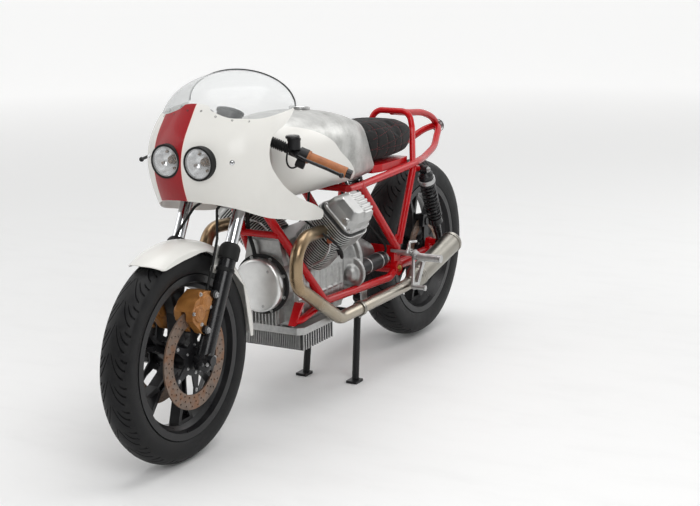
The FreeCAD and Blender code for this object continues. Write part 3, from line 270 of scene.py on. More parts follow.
def finish(name, light, dark, metal, rough, grain, speck, relief, specular=0.5, stretch=(1, 1, 1), coat=0.0):
    """A finish whose colour and gloss drift over the piece, with a fine surface grain."""
    s = Surface(name)
    patches = s.noise(grain, 5.0)
    s.set(base_color=s.ramp(patches, (0.32, dark), (0.68, light)), metallic=metal,
          roughness=s.drift(patches, *rough), specular_ior_level=specular)
    s.bump(s.noise(speck, 3.0, stretch=stretch), relief)
    if coat:
        s.set(coat_weight=coat, coat_roughness=0.04)
    return s.made


def disc_material(name, axle, blade_inner):
    """Rust-browned iron outside, black carrier inside."""
    s = Surface(name)
    patches = s.noise(22.0, 6.0, 0.6)
    rust = s.ramp(patches, (0.3, (0.10, 0.075, 0.06)), (0.5, (0.19, 0.14, 0.11)), (0.66, (0.22, 0.11, 0.06)),
                  (0.78, (0.26, 0.21, 0.18)))
    blade = s.span(s.radius_about(axle), blade_inner - 0.0008, blade_inner + 0.0008)
    s.set(base_color=s.mix(blade, (0.018, 0.018, 0.02), rust), metallic=0.5,
          roughness=s.drift(patches, 0.38, 0.62))
    s.bump(s.noise(700.0), 0.05)
    return s.made


def turned_material(name, light, dark, centre, rough):
    """Bright alloy with the fine rings of a lathe about an axis along Y."""
    s = Surface(name)
    x, _, z = s.axes()
    r = s.distance(s.minus(x, centre.x), s.minus(z, centre.z))
    soft = s.noise(30.0)
    s.set(base_color=s.ramp(soft, (0.3, dark), (0.7, light)), metallic=1.0, roughness=s.drift(soft, *rough))
    s.bump(s.math("SINE", s.times(r, 5200.0)), 0.003)
    return s.made


def header_material(name, from_y, to_y):
    """Stainless pipe tinted gold by heat near the ports, paler and greyer towards the silencer."""
    s = Surface(name)
    _, y, z = s.axes()
    cloud = s.drift(s.noise(14.0, 5.0), -0.09, 0.09)
    heat = s.plus(s.plus(s.span(y, from_y, to_y), s.span(z, 0.30, 0.62, 0.25, 0.0)), cloud)
    tint = s.ramp(heat, (0.0, (0.25, 0.17, 0.10)), (0.2, (0.34, 0.255, 0.16)), (0.34, (0.28, 0.215, 0.14)),
                  (0.5, (0.36, 0.31, 0.235)), (1.0, (0.40, 0.37, 0.32)))
    s.set(base_color=tint, metallic=1.0, roughness=s.drift(s.noise(10.0), 0.26, 0.32))
    s.bump(s.noise(400.0, stretch=(1, 0.06, 1)), 0.003)
    return s.made


def fairing_material(name, white, red, stripe_low, stripe_high):
    """Warm white gloss paint with one red stripe that has a thin pale edge."""
    s = Surface(name)
    across = s.axes()[0]
    half = (stripe_high - stripe_low) / 2
    away = s.size(s.minus(across, (stripe_low + stripe_high) / 2))
    patches = s.noise(6.0, 3.0)
    base = s.ramp(patches, (0.3, scaled(white, 0.95)), (0.7, white))
    paint = s.ramp(patches, (0.3, scaled(red, 0.9)), (0.7, red))
    stripe = s.mix(s.span(away, half - 0.0003, half + 0.0003), paint, (0.80, 0.66, 0.60))
    s.set(base_color=s.mix(s.span(away, half + 0.0025, half + 0.0031), stripe, base),
          roughness=s.drift(patches, 0.22, 0.27), specular_ior_level=0.22, coat_weight=0.12,
          coat_roughness=0.06)
    s.bump(s.noise(160.0, 2.0), 0.006)
    return s.made


# The line from the tank's top edge at the front to its bottom edge, along Y and Z in metres
TANK_LINE = ((-0.368, 0.950), (-0.312, 0.938), (-0.235, 0.922), (-0.155, 0.893), (-0.100, 0.862),
             (-0.063, 0.828), (0.0, 0.787), (0.05, 0.752), (0.09, 0.715), (0.16, 0.66))


def tank_material(name, white):
    """Hand-brushed bare aluminium above a swept line, warm white paint in front of and below it."""
    s = Surface(name)
    _, y, z = s.axes()
    front, rear = TANK_LINE[0][0], TANK_LINE[-1][0]
    low, high = TANK_LINE[-1][1], 0.98
    curve = s.node("ShaderNodeFloatCurve")
    points = curve.mapping.curves[0].points
    places = [((y_at - front) / (rear - front), (z_at - low) / (high - low)) for y_at, z_at in TANK_LINE]
    points[0].location = places[0]
    points[1].location = places[-1]
    for at in places[1:-1]:
        points.new(*at)
    curve.mapping.update()
    s.feed(s.span(y, front, rear), curve.inputs["Value"])
    bare = s.span(s.minus(s.span(z, low, high), curve.outputs["Value"]), -0.003, 0.003)
    brushed = s.noise(260.0, 6.0, 0.7, stretch=(1.0, 0.1, 1.0), turn=(0, 0, 0.25))
    metal = s.ramp(s.noise(12.0, 7.0, 0.65), (0.3, (0.30, 0.30, 0.285)), (0.5, (0.47, 0.47, 0.455)),
                   (0.72, (0.60, 0.60, 0.58)))
    gloss = s.plus(s.times(s.drift(brushed, 0.30, 0.52), bare), s.times(s.minus(1.0, bare), 0.3))
    s.set(base_color=s.mix(bare, white, metal), metallic=s.times(bare, 0.92), roughness=gloss)
    s.bump(s.times(brushed, bare), 0.02)
    return s.made


def fin_material(name, half_u, half_v, corner):
    """Cast alloy whose fins are bright at their edges, with painted shade that darkens the colour deep
    between them.
    """
    s = Surface(name)
    x, y, z = s.axes()
    rise = s.minus(z, CRANK_Z * MM)
    u = s.times(s.size(s.minus(s.size(x), rise)), LEAN)
    middle_y = (CYLINDER_Y[1] + CYLINDER_Y[-1]) / 2 * MM
    offset = s.times(s.math("SIGN", x), (CYLINDER_Y[-1] - CYLINDER_Y[1]) / 2 * MM)
    v = s.size(s.plus(s.plus(y, offset), -middle_y))
    du = s.minus(u, (half_u - corner) * MM)
    dv = s.minus(v, (half_v - corner) * MM)
    reach = s.distance(s.math("MAXIMUM", du, 0.0), s.math("MAXIMUM", dv, 0.0))
    inner = s.math("MINIMUM", s.math("MAXIMUM", du, dv), 0.0)
    depth = s.span(s.minus(corner * MM, s.plus(reach, inner)), 0.0, 0.016)
    stain = s.noise(60.0, 5.0)
    bright = s.ramp(stain, (0.3, (0.50, 0.50, 0.49)), (0.7, (0.66, 0.66, 0.65)))
    # Painted shade: the deeper a point lies between the fins, the closer its colour goes to black and the
    # less metal it has.
    shade = s.ramp(depth, (0.0, (1.0, 1.0, 1.0)), (0.10, (0.85, 0.85, 0.85)), (0.22, (0.10, 0.10, 0.10)),
                   (1.0, (0.02, 0.02, 0.02)))
    s.set(base_color=s.mix(1.0, bright, shade, "MULTIPLY"), metallic=s.span(depth, 0.0, 0.35, 0.9, 0.3),
          roughness=s.drift(stain, 0.34, 0.5))
    s.bump(s.noise(700.0), 0.08)
    return s.made


def sump_material(name):
    """Cast alloy whose sump fins are bright at their edges, with painted shade between them, under a bright
    flange.
    """
    s = Surface(name)
    x, y, z = s.axes()
    front_y, half_width, flange_z = -0.244, 0.116, 0.2610
    depth = s.math("MINIMUM", s.plus(y, -front_y), s.minus(half_width, s.size(x)))
    # Painted shade: dark and less metallic deep between the sump fins, below the flange.
    shade = s.times(s.span(depth, 0.0005, 0.004), s.span(z, flange_z, flange_z + 0.0015, 1.0, 0.0))
    stain = s.noise(70.0, 5.0)
    alloy = s.ramp(stain, (0.3, (0.36, 0.36, 0.355)), (0.7, (0.50, 0.50, 0.49)))
    s.set(base_color=s.mix(shade, alloy, (0.05, 0.05, 0.05)), metallic=s.span(shade, 0.0, 1.0, 0.9, 0.2),
          roughness=s.drift(stain, 0.34, 0.48))
    s.bump(s.noise(900.0), 0.05)
    return s.made


def clear_material(name, colour, alpha, rough):
    """Thin clear plastic or glass: mostly see-through, with a faint haze of scratches."""
    s = Surface(name)
    faint = s.noise(18.0, 4.0)
    edge = s.node("ShaderNodeLayerWeight")
    edge.inputs["Blend"].default_value = 0.35
    s.set(base_color=s.ramp(faint, (0.3, scaled(colour, 0.97)), (0.7, colour)),
          roughness=s.drift(faint, rough, rough + 0.03), ior=1.49,
          alpha=s.span(edge.outputs["Facing"], 0.0, 1.0, alpha, min(1.0, alpha + 0.5)))
    return s.made


def leather_material(name, light, dark):
    """Hide with small rounded cells."""
    s = Surface(name)
    cells = s.node("ShaderNodeTexVoronoi")
    cells.inputs["Scale"].default_value = 620.0
    s.feed(s.coords(), cells.inputs["Vector"])
    patches = s.noise(45.0, 5.0, 0.65)
    s.set(base_color=s.ramp(patches, (0.3, dark), (0.7, light)), roughness=s.drift(patches, 0.42, 0.62))
    s.bump(cells.outputs["Distance"], 0.25)
    return s.made


def suede_material(name):
    """Black napped fabric with a soft sheen."""
    s = Surface(name)
    weave = s.noise(1400.0, 3.0, 0.7)
    nap = s.ramp(s.noise(24.0, 6.0, 0.6), (0.3, (0.007, 0.007, 0.007)), (0.7, (0.018, 0.017, 0.017)))
    s.set(base_color=nap, roughness=s.drift(weave, 0.82, 0.98), sheen_weight=0.08, sheen_roughness=0.5,
          specular_ior_level=0.15)
    s.bump(weave, 0.25)
    return s.made


def tyre_material(name, axle):
    """Rubber: dusty dark crown, smoother sidewall with fine moulded rings near the bead."""
    s = Surface(name)
    r = s.radius_about(axle)
    rings = s.times(s.math("SINE", s.times(r, 2100.0)), s.span(r, BEAD_R + 0.022, BEAD_R + 0.030, 1.0, 0.0))
    dust = s.noise(35.0, 6.0, 0.62)
    s.set(base_color=s.ramp(dust, (0.3, (0.006, 0.006, 0.007)), (0.72, (0.016, 0.016, 0.016))),
          roughness=s.drift(dust, 0.42, 0.60), specular_ior_level=0.18)
    s.bump(s.plus(s.times(s.noise(1100.0), 0.4), rings), 0.12)
    return s.made


def grey(value):
    return (value, value, value)


# Plain finishes: light, dark, metal, roughness range, grain, speck, relief in millimetres, specular level
FINISHES = {
    "cast_alloy": ((0.44, 0.44, 0.43), (0.31, 0.31, 0.305), 0.9, (0.34, 0.5), 70, 900, 0.05),
    "bright_cast": ((0.47, 0.47, 0.46), (0.36, 0.36, 0.355), 0.95, (0.28, 0.38), 20, 600, 0.02),
    "machined_alloy": ((0.56, 0.56, 0.55), grey(0.42), 0.95, (0.28, 0.40), 30, 500, 0.008, 0.5, (1, 1, 0.1)),
    "black_alloy": ((0.010, 0.010, 0.011), (0.005, 0.005, 0.006), 0.0, (0.20, 0.30), 30, 900, 0.01, 0.4),
    "black_paint": ((0.011, 0.011, 0.012), (0.006, 0.006, 0.007), 0.0, (0.30, 0.42), 30, 700, 0.02, 0.3),
    "stainless": ((0.37, 0.355, 0.315), (0.29, 0.275, 0.245), 1.0, (0.28, 0.36), 8, 400, 0.003, 0.5,
                  (1, 0.08, 1)),
    "plain_steel": (grey(0.55), grey(0.38), 1.0, (0.26, 0.40), 60, 900, 0.02),
    "hard_chrome": ((0.72, 0.73, 0.75), (0.62, 0.63, 0.65), 1.0, (0.07, 0.13), 20, 600, 0.004),
    "bronze_alloy": ((0.40, 0.175, 0.045), (0.25, 0.10, 0.024), 0.35, (0.30, 0.44), 34, 700, 0.08),
    "black_wheel": ((0.010, 0.010, 0.011), (0.005, 0.005, 0.006), 0.0, (0.26, 0.38), 24, 500, 0.02, 0.35),
    "black_rubber": (grey(0.010), grey(0.006), 0.0, (0.5, 0.66), 40, 800, 0.06, 0.25),
    "black_plastic": ((0.011, 0.011, 0.012), (0.006, 0.006, 0.007), 0.0, (0.36, 0.50), 40, 1200, 0.04, 0.3),
    "black_spring": ((0.011, 0.011, 0.012), (0.006, 0.006, 0.007), 0.0, (0.24, 0.34), 40, 600, 0.02, 0.4),
    "red_thread": ((0.30, 0.03, 0.035), (0.16, 0.012, 0.016), 0.0, (0.6, 0.8), 300, 3000, 0.08),
    "reflector": ((0.92, 0.93, 0.94), (0.80, 0.81, 0.82), 0.45, (0.12, 0.20), 40, 300, 0.05),
    "dial_face": ((0.030, 0.030, 0.031), (0.018, 0.018, 0.019), 0.0, (0.6, 0.7), 30, 600, 0.01, 0.2),
    "dial_ink": ((0.62, 0.62, 0.60), (0.50, 0.50, 0.48), 0.0, (0.4, 0.5), 30, 600, 0.01),
    "amber_bulb": ((0.20, 0.13, 0.07), (0.10, 0.06, 0.03), 0.7, (0.2, 0.3), 90, 900, 0.05),
    "copper": ((0.42, 0.14, 0.08), (0.26, 0.07, 0.04), 1.0, (0.3, 0.44), 90, 900, 0.03),
    "brass": ((0.50, 0.36, 0.14), (0.36, 0.25, 0.09), 1.0, (0.28, 0.4), 90, 900, 0.03),
    "tail_red": ((0.10, 0.004, 0.006), (0.05, 0.002, 0.003), 0.0, (0.12, 0.2), 40, 500, 0.02, 0.5,
                 (1, 1, 1), 0.5),
}
MATERIALS = {}


def make_materials(props):
    white = tuple(props.body_white)
    red = tuple(props.frame_red)
    low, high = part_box("exhaust_headers")
    MATERIALS.update({name: finish(name, *settings) for name, settings in FINISHES.items()})
    recipes = (
        (finish, "red_paint", red, scaled(red, 0.86), 0.0, (0.20, 0.26), 18, 260, 0.003, 0.3, (1, 1, 1), 0.1),
        (finish, "white_paint", white, scaled(white, 0.96), 0.0, (0.22, 0.27), 6, 160, 0.006, 0.3,
         (1, 1, 1), 0.2),
        (fairing_material, "fairing_paint", white, tuple(props.stripe_red), -0.115, -0.001),
        (turned_material, "polished_alloy", (0.78, 0.78, 0.77), (0.68, 0.68, 0.67),
         middle("alternator_cover"), (0.30, 0.38)),
        (header_material, "header_steel", low.y, high.y),
        (fin_material, "cylinder_fins", 70, 76, 52),
        (fin_material, "head_fins", 75, 80, 42),
        (sump_material, "sump_fins"),
        (disc_material, "front_disc", FRONT_AXLE, 0.106),
        (disc_material, "rear_disc", REAR_AXLE, 0.084),
        (tank_material, "bare_tank", white),
        (leather_material, "tan_leather", (0.42, 0.15, 0.045), (0.27, 0.085, 0.024)),
        (clear_material, "lamp_glass", (0.92, 0.94, 0.95), 0.04, 0.02),
        (clear_material, "clear_screen", (0.62, 0.64, 0.64), 0.07, 0.03),
        (clear_material, "dial_glass", grey(0.02), 0.02, 0.1),
        (suede_material, "seat_fabric"),
        (tyre_material, "front_rubber", FRONT_AXLE),
        (tyre_material, "rear_rubber", REAR_AXLE),
    )
    for make, name, *settings in recipes:
        MATERIALS[name] = make(name, *settings)


# Each frame node's material
NODE_FINISH = {node_name: material for material, names in {
    "polished_alloy": "alternator_cover",
    "cast_alloy": "carburettors crankcase final_drive gearbox timing_cover",
    "black_alloy": "bar_ends clip_ons fork_sliders front_axle levers lower_yoke shock_bodies upper_yoke",
    "black_paint": "centre_stand fairing_stay rear_caliper", "head_fins": "cylinder_heads",
    "cylinder_fins": "cylinders", "header_steel": "exhaust_headers", "fairing_paint": "fairing",
    "black_plastic": "fluid_reservoirs instruments starter_motor switch_housings",
    "hard_chrome": "fork_tubes",
    "red_paint": "frame_cradle_left frame_cradle_right frame_cross_members frame_spine seat_rails seat_tray "
                 "shock_mounts swingarm tail_hoop",
    "bronze_alloy": "front_calipers", "front_disc": "front_discs", "white_paint": "front_fender",
    "black_wheel": "front_rim rear_rim", "machined_alloy": "fuel_cap rearsets", "bare_tank": "fuel_tank",
    "tan_leather": "grips", "black_rubber": "brake_hoses headlamp_rims", "stainless": "mufflers",
    "plain_steel": "rear_axle stand_pivots", "rear_disc": "rear_disc", "bright_cast": "rocker_covers",
    "sump_fins": "sump", "tail_red": "tail_lamp", "clear_screen": "windscreen", "front_rubber": "front_tyre",
    "rear_rubber": "rear_tyre", "lamp_glass": "headlamps", "seat_fabric": "seat_pad",
    "black_spring": "shock_springs",
}.items() for node_name in names.split()}


# Mesh helpers
def mesh_of(name, shape):
    """Turns a bmesh into a mesh and frees it."""
    bmesh.ops.remove_doubles(shape, verts=shape.verts, dist=1e-6)
    bmesh.ops.recalc_face_normals(shape, faces=shape.faces)
    mesh = bpy.data.meshes.new(name)
    shape.to_mesh(mesh)
    shape.free()
    return mesh


def grid_mesh(name, rows, close_rows=False, close_cols=False):
    """Mesh through a grid of points."""
    count = len(rows[0])
    verts = [tuple(p) for row in rows for p in row]
    faces = []
    for i in range(len(rows) if close_rows else len(rows) - 1):
        for j in range(count if close_cols else count - 1):
            a = i * count + j
            b = i * count + (j + 1) % count
            c = ((i + 1) % len(rows)) * count + (j + 1) % count
            d = ((i + 1) % len(rows)) * count + j
            faces.append((a, b, c, d))
    mesh = bpy.data.meshes.new(name)
    mesh.from_pydata(verts, [], faces)
    mesh.update()
    return mesh


def sharpen(obj, degrees):
    """Keeps edges sharper than an angle crisp."""
    shape = bmesh.new()
    shape.from_mesh(obj.data)
    limit = math.radians(degrees)
    for edge in shape.edges:
        edge.smooth = len(edge.link_faces) == 2 and edge.calc_face_angle() < limit
    shape.to_mesh(obj.data)
    shape.free()


def add_piece(mesh, material, body="chassis", replaced=(), crisp=40):
    """Puts a finished mesh in the scene on its body, facing outwards."""
    shape = bmesh.new()
    shape.from_mesh(mesh)
    bmesh.ops.recalc_face_normals(shape, faces=shape.faces)
    for face in shape.faces:
        face.smooth = True
    shape.to_mesh(mesh)
    shape.free()
    made = bpy.data.objects.new(mesh.name, mesh)
    bpy.context.scene.collection.objects.link(made)
    mesh.materials.clear()
    mesh.materials.append(MATERIALS[material])
    sharpen(made, crisp)
    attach(made, body)
    if replaced:
        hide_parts(*replaced)
    return made


def frame_of(axis):
    """Two directions square to an axis."""
    axis = Vector(axis).normalized()
    side = Vector((0, 0, 1)) if abs(axis.z) < 0.9 else Vector((0, 1, 0))
    first = axis.cross(side).normalized()
    return first, axis.cross(first)


def add_lathe(shape, profile, origin, axis, steps=32):
    """Adds a turned form to a bmesh: pairs are distance along the axis and radius, in millimetres."""
    first, second = frame_of(axis)
    axis = Vector(axis).normalized()
    rings = []
    for i in range(steps):
        t = 2 * math.pi * i / steps
        out = first * math.cos(t) + second * math.sin(t)
        rings.append([shape.verts.new(Vector(origin) + (axis * s + out * r) * MM) for s, r in profile])
    for i in range(steps):
        one = rings[i]
        two = rings[(i + 1) % steps]
        for j in range(len(profile) - 1):
            corners = (one[j], one[j + 1], two[j + 1], two[j])
            shape.faces.new(corners)


def add_bolt(shape, centre, axis, r, height):
    """Cap bolt in millimetres: a washer, a chamfered head and a socket sunk in it."""
    add_lathe(shape, [(-0.4 * height, 0.0), (-0.4 * height, 1.35 * r), (0.12 * height, 1.35 * r),
                      (0.14 * height, r), (0.86 * height, r), (height, 0.86 * r), (height, 0.5 * r),
                      (0.5 * height, 0.46 * r), (0.5 * height, 0.0)], centre, axis, 18)


def add_nut(shape, centre, axis, r, height):
    """Hexagon nut on a washer with the end of its stud, in millimetres."""
    add_lathe(shape, [(-1, 0), (-1, 1.3 * r), (0.8, 1.3 * r), (0.9, 0)], centre, axis, 24)
    hexagon = [(0.8, 0), (0.8, r), (height - 0.8, r), (height, 0.88 * r), (height, 0)]
    add_lathe(shape, hexagon, centre, axis, 6)
    stud = [(height - 0.5, 0), (height - 0.5, 0.52 * r), (height + 2, 0.5 * r),
            (height + 2.6, 0.4 * r), (height + 2.6, 0)]
    add_lathe(shape, stud, centre, axis, 16)


def fasteners(name, places, material="plain_steel", body="chassis", kind=add_bolt):
    """One piece made of several bolts or nuts: each place is centre, axis, radius and height."""
    shape = bmesh.new()
    for centre, axis, r, height in places:
        kind(shape, centre, axis, r, height)
    add_piece(mesh_of(name, shape), material, body)


class Shapes(dict):
    """Forms in the making by the name of their piece; each one starts empty."""

    def __missing__(self, name):
        self[name] = bmesh.new()
        return self[name]

    def add(self, body="chassis", **materials):
        """Makes a piece of each named form in its material."""
        for name, material in materials.items():
            add_piece(mesh_of(name, self[name]), material, body)


def ribs(count, start, pitch, rib):
    """The same few points of a turned form over and over along its axis."""
    return [(start + k * pitch + at, r) for k in range(count) for at, r in rib]


def smooth_line(points, order=3):
    """Points along the smooth spline that a list of control points pulls."""
    curve = bpy.data.curves.new("route", "CURVE")
    curve.dimensions = "3D"
    spline = curve.splines.new("NURBS")
    spline.points.add(len(points) - 1)
    for target, p in zip(spline.points, points):
        target.co = (*p, 1.0)
    spline.order_u = order
    spline.use_endpoint_u = True
    spline.resolution_u = 8
    holder = bpy.data.objects.new("route", curve)
    mesh = bpy.data.meshes.new_from_object(holder)
    line = [v.co.copy() for v in mesh.vertices]
    bpy.data.objects.remove(holder)
    bpy.data.curves.remove(curve)
    bpy.data.meshes.remove(mesh)
    return line


def add_tube(shape, points, r, sides=10):
    """Adds a round tube along a list of points, without twist and closed at its ends. r is in metres."""
    pts = [Vector(p) for p in points]
    first = None
    rings = []
    for i, p in enumerate(pts):
        ahead = (pts[min(i + 1, len(pts) - 1)] - pts[max(i - 1, 0)]).normalized()
        if first is None:
            first = frame_of(ahead)[0]
        else:
            first = (first - ahead * first.dot(ahead)).normalized()
        second = ahead.cross(first)
        ring = []
        for k in range(sides):
            t = 2 * math.pi * k / sides
            ring.append(shape.verts.new(p + (first * math.cos(t) + second * math.sin(t)) * r))
        rings.append(ring)
    for one, two in zip(rings, rings[1:]):
        for k in range(sides):
            shape.faces.new((one[k], one[(k + 1) % sides], two[(k + 1) % sides], two[k]))
    shape.faces.new(list(reversed(rings[0])))
    shape.faces.new(rings[-1])


def surface_tree(mesh):
    """Search tree over a mesh."""
    return BVHTree.FromPolygons([v.co.copy() for v in mesh.vertices],
                                [tuple(p.vertices) for p in mesh.polygons])


def evaluated_mesh(obj, name):
    """The mesh of an object with its modifiers applied."""
    graph = bpy.context.evaluated_depsgraph_get()
    mesh = bpy.data.meshes.new_from_object(obj.evaluated_get(graph), depsgraph=graph)
    mesh.name = name
    return mesh


def melted(mesh, name, voxel, rounds):
    """A mesh built again from even cells and smoothed, which joins its forms and rounds its edges."""
    rough = bpy.data.objects.new(name + "_rough", mesh)
    bpy.context.scene.collection.objects.link(rough)
    remesh = rough.modifiers.new("voxels", "REMESH")
    remesh.mode = "VOXEL"
    remesh.voxel_size = voxel * MM
    soften = rough.modifiers.new("soften", "SMOOTH")
    soften.factor = 0.5
    soften.iterations = rounds
    made = evaluated_mesh(rough, name)
    bpy.data.objects.remove(rough)
    return made


def add_casting(node_name, name, material, voxel, rounds, body="chassis", extras=None):
    """A casting in a node's place, made of its solid and extra forms; the voxel is in millimetres."""
    shape = bmesh.new()
    shape.from_mesh(NODES[node_name].data)
    if extras:
        extras(shape)
    made = melted(mesh_of(name + "_rough", shape), name, voxel, rounds)
    add_piece(made, material, body, replaced=(node_name,), crisp=60)


def add_block(shape, low, high):
    """Adds a box between two corners given in millimetres, for a casting to melt in."""
    xs, ys, zs = zip(low, high)
    corners = [shape.verts.new(place(x, y, z)) for x in xs for y in ys for z in zs]
    for quad in ((0, 1, 3, 2), (4, 6, 7, 5), (0, 4, 5, 1), (2, 3, 7, 6), (0, 2, 6, 4), (1, 5, 7, 3)):
        shape.faces.new([corners[i] for i in quad])


# Tyres
def tread_mesh(name, axle, tyre_r, half, rim_r, pitches, sweep):
    """Tyre whose mesh lines follow its grooves, so that each groove has crisp walls."""
    seat = half - 0.010
    shoulder = half - 0.006
    crown_rise = 0.020
    drop = tyre_r - crown_rise
    crown_r = (shoulder ** 2 + crown_rise ** 2) / (2 * crown_rise)
    crown_rows = 37
    side_rows = 12
    mid_r = (rim_r + drop) / 2
    profile = [(seat, rim_r - 0.013, 1.0), (seat, rim_r, 1.0)]
    for k in range(side_rows):
        t = k / side_rows
        r = rim_r + 0.003 + (drop - rim_r - 0.003) * t
        swell = 1 - ((r - mid_r - 0.002) / (drop - mid_r)) ** 2
        profile.append((shoulder + (half - shoulder) * max(0.0, swell), r, 1.0))
    left = [(-x, r, w) for x, r, w in profile]
    right = [(x, r, w) for x, r, w in reversed(profile)]
    crown = []
    for k in range(crown_rows):
        x = -shoulder + 2 * shoulder * k / (crown_rows - 1)
        crown.append((x, tyre_r - crown_r + math.sqrt(crown_r ** 2 - x ** 2), 0.0))
    across = left + crown + right
    pitch = 2 * math.pi / pitches
    half_width = 0.0026 / tyre_r
    wall = 0.0008 / tyre_r
    depth = 0.0060
    fade = 0.10
    spans = {0: (0.05, 0.82), 1: (0.62, 0.99), 2: (0.34, 0.94)}
    places_in_pitch = [(k * pitch / 12, None) for k in (0, 1, 3, 4, 5, 7, 8, 9, 11)]
    for number, centre in enumerate((0.18, 0.50, 0.82)):
        at = centre * pitch
        places_in_pitch.extend([(at - half_width - wall, None), (at - half_width, number),
                                (at + half_width, number), (at + half_width + wall, None)])
    places_in_pitch.sort(key=lambda c: c[0])
    rows = []
    for p in range(pitches):
        for at, groove in places_in_pitch:
            row = []
            for x, r, plain in across:
                share = min(abs(x) / shoulder, 1.0)
                turn = at + p * pitch + sweep * (1 - (1 - share) ** 2)
                cut = 0.0
                if groove is not None and not plain:
                    low, high = spans[groove]
                    if low < share < high:
                        cut = depth * min(1.0, min(share - low, high - share) / fade)
                out = r - cut
                row.append(Vector((x, axle.y - out * math.sin(turn), axle.z + out * math.cos(turn))))
            rows.append(row)
    return grid_mesh(name, rows, close_rows=True, close_cols=True)


def spring_points(top, low, r, turns, start, end):
    """Centreline of a coil spring about the line from top to low."""
    axis = (low - top).normalized()
    first, second = frame_of(axis)
    steps = int(turns * 20)
    made = []
    for i in range(steps + 1):
        t = 2 * math.pi * turns * i / steps
        along = start + (end - start) * i / steps
        made.append(top + axis * along + (first * math.cos(t) + second * math.sin(t)) * r)
    return made


# Properties
class FinishProps(bpy.types.PropertyGroup):
    body_white: bpy.props.FloatVectorProperty(
        name="Body white", description="Warm white of the fairing and mudguard", subtype="COLOR",
        default=(0.71, 0.70, 0.665), min=0.0, max=1.0)
    stripe_red: bpy.props.FloatVectorProperty(
        name="Stripe red", description="Red of the stripe on the fairing", subtype="COLOR",
        default=(0.29, 0.006, 0.010), min=0.0, max=1.0)
    frame_red: bpy.props.FloatVectorProperty(
        name="Frame red", description="Gloss red of the frame tubes", subtype="COLOR",
        default=(0.45, 0.001, 0.004), min=0.0, max=1.0)


class TyreProps(bpy.types.PropertyGroup):
    front_pitches: bpy.props.IntProperty(
        name="Front pitches", description="Repeats of the groove pattern round the front tyre",
        default=26, min=8)
    rear_pitches: bpy.props.IntProperty(
        name="Rear pitches", description="Repeats of the groove pattern round the rear tyre",
        default=24, min=8)
    sweep: bpy.props.FloatProperty(
        name="Groove sweep", description="How far a groove runs round the tyre from centre to shoulder",
        subtype="ANGLE", default=0.27)


class SpringProps(bpy.types.PropertyGroup):
    wire: bpy.props.FloatProperty(
        name="Wire radius", description="Radius of the spring wire", unit="LENGTH", default=0.0042)
    turns: bpy.props.FloatProperty(name="Turns", description="Turns of each rear spring", default=10.5)


class SeatProps(bpy.types.PropertyGroup):
    pressure: bpy.props.FloatProperty(
        name="Filling pressure", description="Pressure that swells the cushion in its cover", default=4.0)
    swell: bpy.props.FloatProperty(
        name="Swell", description="Furthest that the cover may move as it fills",
        unit="LENGTH", default=0.008)
    stitch: bpy.props.FloatProperty(
        name="Stitch", description="Length of one stitch", unit="LENGTH", default=0.006)


class StageProps(bpy.types.PropertyGroup):
    lens: bpy.props.FloatProperty(
        name="Lens", description="Focal length of the camera for a 36 mm wide picture",
        unit="CAMERA", default=76.95)
    lamp_level: bpy.props.FloatProperty(
        name="Lamp level", description="Share of full power that every lamp burns at", default=1.0, min=0.0)


# Operators
class MakeFinishes(bpy.types.Operator):
    """Make every material and give each frame node its own"""

    bl_idname = "motorcycle.finishes"
    bl_label = "Finishes"

    def execute(self, context):
        make_materials(context.scene.finish_props)
        for name, obj in NODES.items():
            obj.data.materials.clear()
            obj.data.materials.append(MATERIALS[NODE_FINISH[name]])
        return {"FINISHED"}


class MakeTyres(bpy.types.Operator):
    """Mould both tyres with their grooves"""

    bl_idname = "motorcycle.tyres"
    bl_label = "Tyres"

    def execute(self, context):
        props = context.scene.tyre_props
        for node_name, axle, body, pitches in (("front_tyre", FRONT_AXLE, "front_wheel", props.front_pitches),
                                               ("rear_tyre", REAR_AXLE, "rear_wheel", props.rear_pitches)):
            low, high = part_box(node_name)
            tyre_r = (high.z - low.z) / 2
            half = (high.x - low.x) / 2
            mesh = tread_mesh(node_name + "_tread", axle, tyre_r, half, BEAD_R, pitches, props.sweep)
            add_piece(mesh, NODE_FINISH[node_name], body, replaced=(node_name,), crisp=50)
        return {"FINISHED"}


class MakeShocks(bpy.types.Operator):
    """Wind the rear springs and fit their collars"""

    bl_idname = "motorcycle.shocks"
    bl_label = "Rear springs"

    def execute(self, context):
        props = context.scene.spring_props
        shapes = Shapes()
        collar = [(38, 27.2), (38, 30), (40, 31), (44, 31), (46, 30), (48, 30), (50, 31), (54, 31), (56, 30),
                  (56, 20)]
        coil_r, first_turn, last_turn = 0.0246, 0.060, 0.212
        for side in (1, -1):
            top = place(side * 152, 556, 672)
            bottom = REAR_AXLE + place(side * 138, -34.5, 38)
            line = spring_points(top, bottom, coil_r, props.turns, first_turn, last_turn)
            add_tube(shapes["coil_springs"], line, props.wire, 8)
            add_lathe(shapes["spring_collars"], collar, top, bottom - top, 40)
        add_piece(mesh_of("coil_springs", shapes["coil_springs"]), "black_spring",
                  replaced=("shock_springs",))
        shapes.add(spring_collars="machined_alloy")
        return {"FINISHED"}


